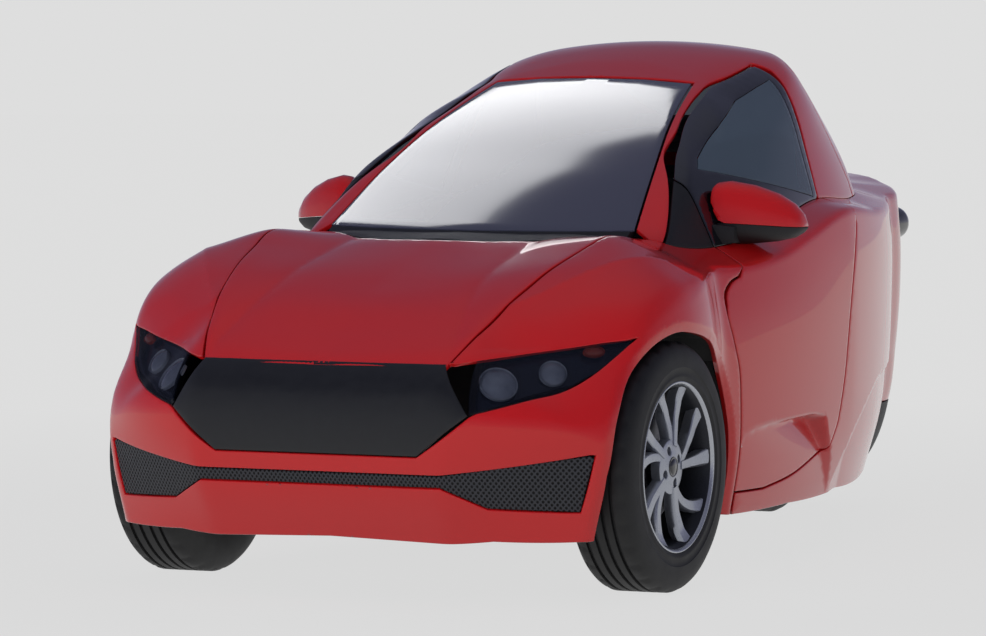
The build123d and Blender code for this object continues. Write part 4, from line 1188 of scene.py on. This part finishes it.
def hub_face():
    """The middle of the wheel, with its lug pockets, dished a little."""
    flat, faces = fill([circle(HUB_R, 72)] + [circle(10.5, 20, at) for at in LUG_AT], 7.0)
    pts = np.insert(flat, 0, HUB_FACE_X, axis=1)
    pts[:, 0] += np.interp(np.hypot(*flat.T), [26, 40, HUB_R], [2.0, 0.0, -3.0])
    n = np.tile([1.0, 0, 0], (len(pts), 1))
    return rounded_edge(pts, n, orient(pts, faces, n), 2.0, 24.0)


def lug_nuts():
    """Six-sided nuts in the pockets: rows of x and radius."""
    return joined([(*rows_mesh([[(x, y, z) for y, z in circle(r, 6, at, 0.2)]
                                for x, r in ((44, 8), (55, 8), (57, 6.5), (57.5, 3))]), 0) for at in LUG_AT])


def place_wheel(spot, x, s, flip, body):
    def put(name, verts, faces, mats, *nodes, slots=None, sharp=None):
        verts, faces = mirrored(verts, faces, flip)
        obj = mesh_object(f"{name}_{spot}", to_metres(verts + np.array([x, s, TYRE_R])), faces, sharp, slots)
        placed(obj, mats[0], body, *nodes)
        for extra in mats[1:]:
            obj.data.materials.append(extra.mat)

    put("tyre_tread", *turned(TYRE_LINE, 150, 5, 5.0), [rubber], f"tyre_{spot}", sharp=40)
    spokes = [spoke(i * 2 * math.pi / SPOKES, lean, front) for i in range(SPOKES)
              for lean, front in ((0.0, 67.0), (SPOKE_PAIR, 64.0))]
    verts, faces, slots = joined(spokes + [(*hub_face(), 0)])
    put("rim_spokes", verts, faces, [alloy, alloy_dark], f"rim_{spot}", slots=slots, sharp=30)
    put("rim_lip", *turned(LIP_LINE, 128, closed=False), [alloy_lip])
    put("rim_barrel", *turned(BARREL_LINE, 96), [barrel_painted_shade], sharp=40)
    put("hub_cap", *turned(CAP_LINE, 48, closed=False), [gloss_black], sharp=35)
    put("lug_nuts", *lug_nuts()[:2], [steel], sharp=30)


for spot, x, s, flip in (("front_left", HALF_TRACK, 0, False), ("front_right", -HALF_TRACK, 0, True),
                         ("rear", 0, WHEELBASE, False)):
    place_wheel(spot, x, s, flip, f"wheel_{spot}")

# ---- door mirrors
# x, low, seam and high z, front and rear s
MIRROR = [(508, 812, 862, 944, 620, 692), (510, 808, 862, 954, 616, 700), (520, 805, 861, 962, 614, 708),
          (548, 804, 860, 965, 622, 724), (600, 808, 857, 954, 645, 752), (650, 813, 853, 933, 672, 774),
          (685, 821, 850, 908, 696, 784), (703, 833, 849, 884, 714, 783), (711, 843, 848, 862, 734, 774)]


def half_oval(s0, s1, z0, z1, blunt, n=14):
    """From (s0, z0) over (middle, z1) to (s1, z0)."""
    out = []
    for i in range(n + 1):
        a = math.pi * i / n
        c, q = math.cos(a), math.sin(a)
        out.append(((s0 + s1) / 2 - (s1 - s0) / 2 * math.copysign(abs(c) ** blunt, c),
                    z0 + (z1 - z0) * q ** blunt))
    return out


FOOT = [(490, 590, 650, 806, 860), (530, 594, 654, 806, 858), (575, 622, 690, 812, 852)]  # x, s, s, z, z
CAP_CLEAR = 6.0  # how far the cap keeps off the door's glass


def mirror_pieces(side, flip):
    cap = [[(x, s, z) for s, z in half_oval(s0, s1, seam + 1.2, high, 0.8)]
           for x, _, seam, high, s0, s1 in MIRROR]
    base = [[(x, s, z) for s, z in half_oval(s0 + 2, s1 - 1, seam - 0.4, low, 0.75)]
            for x, low, seam, _, s0, s1 in MIRROR]
    foot = [[(x, s, z) for s, z in ((s0, z0), (s1, z0), (s1 + 2, (z0 + z1) / 2), (s1, z1), (s0, z1),
                                    (s0 - 4, (z0 + z1) / 2))] for x, s0, s1, z0, z1 in FOOT]
    for name, rows, mat, closed in (("mirror_cap", cap, paint, False),
                                    ("mirror_base", base, trim_black, False),
                                    ("mirror_foot", foot, trim_black, True)):
        verts, faces = rows_mesh(rows, closed)
        if not closed:
            m = len(rows[0])
            faces += [[i * m, (i + 1) * m, (i + 1) * m + m - 1, i * m + m - 1] for i in range(len(rows) - 1)]
        is_cap = name == "mirror_cap"
        if is_cap:
            verts = verts + normals(upper, verts) * np.clip(CAP_CLEAR - upper(verts), 0, None)[:, None]
            faces = [f[::-1] for f in faces]
        verts, faces = mirrored(verts, faces, flip)
        obj = mesh_object(f"{name}_{side}", to_metres(verts), faces, 40)
        placed(obj, mat, f"door_body_{side}", *([f"mirror_{side}"] if is_cap else []))


for side, flip in SIDES:
    mirror_pieces(side, flip)

# ---- tail lamps
TAIL_AT = (236.0, 0.0, 778.0)
POD_LINE = [(2320, 30), (2345, 36), (2390, 42), (2440, 45.2), (2474, 45.6), (2484, 45), (2488, 42.5),
            (2488.5, 39), (2484, 37.5), (2482, 36)]
LENS_LINE = [(2483, 37), (2487, 35.5), (2489, 31), (2489.6, 24), (2488, 22.5), (2487.6, 21), (2489, 19.5),
             (2489.8, 10), (2490, 0.3)]


for side, flip in SIDES:
    for name, line, mat in (("tail_pod", POD_LINE, gloss_black), ("tail_lens", LENS_LINE, red_glass)):
        verts, faces = turned(line, 72, closed=False)
        verts, faces = mirrored(verts[:, [1, 0, 2]] + np.array(TAIL_AT), [f[::-1] for f in faces], flip)
        obj = mesh_object(f"{name}_{side}", to_metres(verts), faces, 40)
        placed(obj, mat, "car_body", f"tail_lamp_{side}")

# ---- seat and steering wheel
BOLSTER, BOLSTER_RISE = 0.64, 0.2  # where the side pads start and how far on they are full, in half widths
PAD_CELL, SHELL_CELL, RIM_AT = 14, 20, 0.18
BACK_LEAN, HEAD_LEAN = 9.8, 6.0  # degrees
PAD_FILL, PRESSURE, FRAMES, VOXEL = 0.7, 4.0, 20, 0.009
SEAM_DEPTH, CHANNEL_DEPTH, RIM_DEPTH = 7.0, 5.0, 3.0
SEAM_WIDTH, CHANNEL_WIDTH, RIM_WIDTH = 6.0, 6.5, 4.5


def lattice(size, cells):
    """The skin of a block as a grid of square faces."""
    nx, ny, nz = cells
    index, pts, faces = {}, [], []

    def vert(i, j, k):
        if (i, j, k) not in index:
            index[i, j, k] = len(pts)
            pts.append([size[0] * (i / nx - 0.5), size[1] * (j / ny - 0.5), size[2] * (k / nz - 0.5)])
        return index[i, j, k]

    for a, b, c in ((0, 1, 2), (1, 2, 0), (2, 0, 1)):
        for i in range(cells[a]):
            for j in range(cells[b]):
                for k in (0, cells[c]):
                    ring = []
                    for di, dj in ((0, 0), (1, 0), (1, 1), (0, 1)):
                        at = [0, 0, 0]
                        at[a], at[b], at[c] = i + di, j + dj, k
                        ring.append(vert(*at))
                    faces.append(ring if k else ring[::-1])
    return np.array(pts), faces


def rounded_block(size, radius, cells):
    pts, faces = lattice(size, cells)
    core = np.clip(pts, -np.array(size) / 2 + radius, np.array(size) / 2 - radius)
    way = pts - core
    length = np.linalg.norm(way, axis=1, keepdims=True)
    return core + way / np.maximum(length, 1e-9) * np.minimum(length, radius), faces


def pad_form(size, radius, crown, pull, bolster):
    """A cushion before it is filled: a crowned top over a flat base, sides drawn in between the corners."""
    pts, faces = rounded_block(size, radius, tuple(max(4, round(d / PAD_CELL)) for d in size))
    u, v = pts[:, 0] / size[0] * 2, pts[:, 1] / size[1] * 2
    top = np.clip(pts[:, 2] / size[2] + 0.5, 0, 1)
    side = np.clip((abs(u) - BOLSTER) / BOLSTER_RISE, 0, 1)
    pts[:, 2] += top * (crown * (1 - u ** 2) * (1 - v ** 2) + bolster * side)
    pts[:, 0] *= 1 - pull * (1 - v ** 2)
    pts[:, 1] *= 1 - pull * (1 - u ** 2)
    return pts, faces


def read(obj, what="co"):
    data = np.empty(len(obj.data.vertices) * 3)
    obj.data.vertices.foreach_get(what, data)
    return data.reshape(-1, 3)


def write(obj, pts):
    obj.data.vertices.foreach_set("co", pts.ravel())


def swollen(obj, cap):
    """Fills a pad as cloth under pressure; no point moves further than the cap, in metres."""
    bpy.context.view_layer.objects.active = obj
    remesh = obj.modifiers.new("even", "REMESH")
    remesh.mode, remesh.voxel_size = "VOXEL", VOXEL
    bpy.ops.object.modifier_apply(modifier="even")
    before = read(obj)
    cloth = obj.modifiers.new("fill", "CLOTH")
    cloth.settings.use_pressure = True
    cloth.settings.uniform_pressure_force = PRESSURE
    cloth.settings.effector_weights.gravity = 0
    for f in range(1, FRAMES + 1):
        scene.frame_set(f)
    bpy.ops.object.modifier_apply(modifier="fill")
    scene.frame_set(1)
    move = read(obj) - before
    far = np.linalg.norm(move, axis=1, keepdims=True)
    write(obj, before + move * np.minimum(1, cap / np.maximum(far, 1e-9)))


def stitched(obj, size, channels, seam_z):
    """Sewn lines pressed into a filled pad: along both side pads, across the middle and round the rim."""
    p, up = read(obj) * 1000, read(obj, "normal")
    u = abs(p[:, 0]) / size[0] * 2
    dent = SEAM_DEPTH * np.exp(-((u - BOLSTER) * size[0] / 2 / SEAM_WIDTH) ** 2)
    middle = np.clip((BOLSTER - u) * 12, 0, 1)
    for y in channels:
        dent = np.maximum(dent, CHANNEL_DEPTH * middle * np.exp(-((p[:, 1] - y) / CHANNEL_WIDTH) ** 2))
    rim = RIM_DEPTH * np.exp(-((p[:, 2] - seam_z) / RIM_WIDTH) ** 2) * np.clip(1.4 - abs(up[:, 2]) * 2, 0, 1)
    p -= up * (dent * np.clip(up[:, 2] * 1.6, 0, 1) + rim)[:, None]
    write(obj, p / 1000)


def stand(obj, origin, lean):
    """Sets a form made about its own middle into the car; with a lean its base turns to the rear."""
    p = read(obj) * 1000
    if lean is not None:
        c, s = math.cos(math.radians(lean)), math.sin(math.radians(lean))
        p = np.stack([p[:, 0], s * p[:, 1] - c * p[:, 2], c * p[:, 1] + s * p[:, 2]], axis=1)
    write(obj, to_metres(p + np.array(origin)))
    obj.data.update()


def cushion(name, size, form, channels, origin, lean=None, cap=0.011):
    pts, faces = pad_form(size, *form)
    obj = mesh_object(name, pts / 1000, faces)
    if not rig.quick():
        swollen(obj, cap)
        stitched(obj, size, channels, size[2] * RIM_AT)
    stand(obj, origin, lean)
    smooth = obj.modifiers.new("smooth", "SUBSURF")
    smooth.levels = smooth.render_levels = 1
    placed(obj, fabric, "car_body", "seat")
    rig.padded(obj, fill=PAD_FILL)


def seat_shell(name, size, radius, origin, lean=None):
    pts, faces = rounded_block(size, radius, tuple(max(6, round(d / SHELL_CELL)) for d in size))
    obj = mesh_object(name, pts / 1000, faces, 40)
    stand(obj, origin, lean)
    placed(obj, soft_black, "car_body", "seat")


# name, size, (corner radius, crown, pull, side pads), lines across the middle, place, lean
cushion("seat_cushion", (470, 470, 74), (30, 12, 0.03, 14), (-120, -30, 60, 150), (0, 1150, 376))
cushion("seat_back_pad", (440, 520, 52), (22, 8, 0.04, 10), (-170, -80, 10, 100, 190), (0, 1486, 700),
        BACK_LEAN)
cushion("head_rest", (236, 108, 44), (18, 6, 0.05, 0), (), (0, 1533, 1052), HEAD_LEAN, cap=0.006)
seat_shell("seat_base", (480, 480, 34), 10, (0, 1150, 318))
seat_shell("seat_back_shell", (460, 560, 20), 9, (0, 1516, 690), BACK_LEAN)

STEER_AT, STEER_TILT, STEER_R, STEER_TUBE = (0.0, 792.0, 845.0), 24.0, 178.0, 13.5
GRIP, GRIP_SPREAD, GRIP_TURN = 0.12, 0.22, 1.15
ARM_WIDTH, ARM = 34, ((40, 1.3, 9), (60, 1.0, 7), (100, 0.8, 6), (STEER_R - 4, 0.9, 6))
OCTAGON = ((-1, -0.6), (-0.8, -1), (0.8, -1), (1, -0.6), (1, 0.6), (0.8, 1), (-0.8, 1), (-1, 0.6))
STEER_HUB = ((50, -23), (52, -20), (52, 8), (49, 14), (40, 17.5), (14, 19.5))  # radius, height


def steering_ring(n=96, m=16):
    """A closed ring about the local z axis, its tube a little deeper at the grips."""
    verts = []
    for a in (2 * math.pi * i / n for i in range(n)):
        tube = STEER_TUBE * (1.0 + max(GRIP * math.exp(-((abs(a - side) - GRIP_TURN) / GRIP_SPREAD) ** 2)
                                       for side in (math.pi / 2, 3 * math.pi / 2)))
        for b in (2 * math.pi * k / m for k in range(m)):
            r = STEER_R + tube * math.cos(b)
            verts.append((r * math.cos(a), r * math.sin(a), tube * math.sin(b)))
    return np.array(verts), grid_faces(n, m)


def wheel_spoke(turn):
    rows, (c, s) = [], (math.cos(turn), math.sin(turn))
    for r, w, h in ARM:
        pts = [(r, y * w * ARM_WIDTH / 2, z * h) for y, z in OCTAGON]
        rows.append([(x * c - y * s, x * s + y * c, z) for x, y, z in pts])
    return rows_mesh(rows)


steer_spokes = joined([(*wheel_spoke(a), 0) for a in (0, math.pi, -math.pi / 2)])
around = np.linspace(0, 2 * math.pi, 48, endpoint=False)
steer_hub = rows_mesh([[(r * math.cos(a), r * math.sin(a), z) for a in around] for r, z in STEER_HUB])
c, s = math.cos(math.radians(STEER_TILT)), math.sin(math.radians(STEER_TILT))
for name, (v, faces, *_) in (("steering_rim", steering_ring()), ("steering_spokes", steer_spokes),
                             ("steering_hub", steer_hub)):
    v = np.stack([v[:, 0], -s * v[:, 1] + c * v[:, 2], c * v[:, 1] + s * v[:, 2]], axis=1)
    obj = mesh_object(name, to_metres(v + np.array(STEER_AT)), faces, 40)
    placed(obj, soft_black, "steering", "steering_wheel")

# ---- looks of the solids that still show
SOLID_LOOKS = (("tyre", rubber), ("rim", alloy), ("brake", steel), ("wheel_liner", liner_black),
               ("rear_liner", liner_black), ("floor_tub", carpet), ("knuckle", cast_iron),
               ("front_susp", cast_iron), ("swing", cast_iron), ("seat", fabric), ("dashboard", soft_black),
               ("steering_", soft_black), ("tail_lamp", red_glass), ("battery", case), ("motor", case),
               ("", trim_black))
for name, obj in NODES.items():
    dress(obj, next(look for start, look in SOLID_LOOKS if name.startswith(start)))

# ---- camera, light and backdrop
SENSOR, FOCAL, CLIP_END = 36.0, 227.07, 200
CAMERA_AT = (6.855, -14.564, 1.574)  # metres
CAMERA_TURNS = (26.12, 3.5, -0.18)  # yaw, pitch and roll in degrees
camera = linked("photo_camera", bpy.data.cameras.new("photo_camera"))
camera.data.sensor_width, camera.data.lens, camera.data.clip_end = SENSOR, FOCAL, CLIP_END
camera.location = CAMERA_AT
yaw, pitch, roll = (math.radians(a) for a in CAMERA_TURNS)
camera.rotation_euler = (Matrix.Rotation(yaw, 3, "Z") @ Matrix.Rotation(math.pi / 2 - pitch, 3, "X")
                         @ Matrix.Rotation(roll, 3, "Z")).to_euler()
scene.camera = camera


def lamp(name, at, to, size, power, glossy=False):
    data = bpy.data.lights.new(name, "AREA")
    data.shape, data.energy = "RECTANGLE", power
    data.size, data.size_y = size
    obj = linked(name, data)
    obj.location = at
    obj.rotation_euler = (Vector(to) - Vector(at)).to_track_quat("-Z", "Y").to_euler()
    obj.visible_glossy = glossy
    return obj


lamp("front", (-1.6, -9.0, 1.2), (0, -1.0, 0.4), (7, 2.0), 450)
lamp("side", (8.5, -1.0, 1.6), (0, 0, 0.5), (6, 2.4), 230)
lamp("top", (0, 1.0, 7.0), (0, 0, 0), (5, 8), 90)
softbox = lamp("softbox", (-4.9, 5.0, 7.4), (0, 0, 0.9), (5.0, 5.0), 480, glossy=True)
panes = bpy.data.collections.new("panes")  # what the softbox lights: the windscreen alone
scene.collection.children.link(panes)
panes.objects.link(pane)
softbox.light_linking.receiver_collection = panes

CAMERA_WHITE, DIFFUSE_GREY = srgb(222, 222, 222), srgb(132, 132, 138)
HORIZON = [(0.0, srgb(196, 196, 208)), (0.12, srgb(150, 152, 176)), (0.35, srgb(104, 106, 130)),
           (0.7, srgb(104, 106, 130)), (1.0, srgb(140, 142, 160))]
FLOOR_R, FLOOR_NEAR, FLOOR_FAR, NEAR_PART = 40, 2.0, 5.0, 0.93


def studio_world(t):
    """Plain pale to the camera and through glass; a dim room over a pale horizon in reflections."""
    split = node(t, "SeparateXYZ", {0: node(t, "TexCoord", {}).outputs["Generated"]})
    last, rays = ramp(t, split.outputs[2], HORIZON), node(t, "LightPath", {}).outputs
    for ray, colour in (("Is Diffuse Ray", DIFFUSE_GREY), ("Is Camera Ray", CAMERA_WHITE),
                        ("Is Transmission Ray", CAMERA_WHITE)):
        mix = node(t, "Mix", {"Factor": rays[ray], "A": last, "B": colour}, data_type="RGBA")
        last = mix.outputs["Result"]
    t.links.new(last, t.nodes["Background"].inputs["Color"])


def paper(name, shade):
    """The backdrop's own colour for the camera, and a plain diffuse floor for light and shadow."""
    m = Mat(name)
    mottle = node(m.tree, "TexNoise", {"Scale": 0.6}).outputs["Fac"]
    tone = m.ramp(mottle, [(0, faded(shade, 0.99)), (1, shade)])
    rays = node(m.tree, "LightPath", {}).outputs
    seen = rays["Is Camera Ray"]
    for ray in ("Is Transmission Ray", "Is Glossy Ray"):
        seen = m.math("MAXIMUM", seen, rays[ray])
    away = node(m.tree, "VectorMath", {0: m.coord}, operation="LENGTH").outputs["Value"]
    near = node(m.tree, "MapRange", {"Value": away, "From Min": FLOOR_NEAR, "From Max": FLOOR_FAR,
                                     "To Min": NEAR_PART}).outputs["Result"]
    return m.blend(m.math("MULTIPLY", seen, near), node(m.tree, "BsdfDiffuse", {"Color": tone}),
                   node(m.tree, "Emission", {"Color": tone}))


def backdrop():
    """A flat round floor that reaches behind the car in every view."""
    bm = bmesh.new()
    bmesh.ops.create_circle(bm, cap_ends=True, segments=96, radius=FLOOR_R)
    mesh = bpy.data.meshes.new("studio_floor")
    bm.to_mesh(mesh)
    bm.free()
    return linked("studio_floor", mesh)


scene.world = bpy.data.worlds.new("studio")
scene.world.use_nodes = True
studio_world(scene.world.node_tree)
floor = dress(backdrop(), paper("studio_paper", CAMERA_WHITE))
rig.stage(floor)
scene.view_settings.view_transform = "Standard"

write_size("dressed")
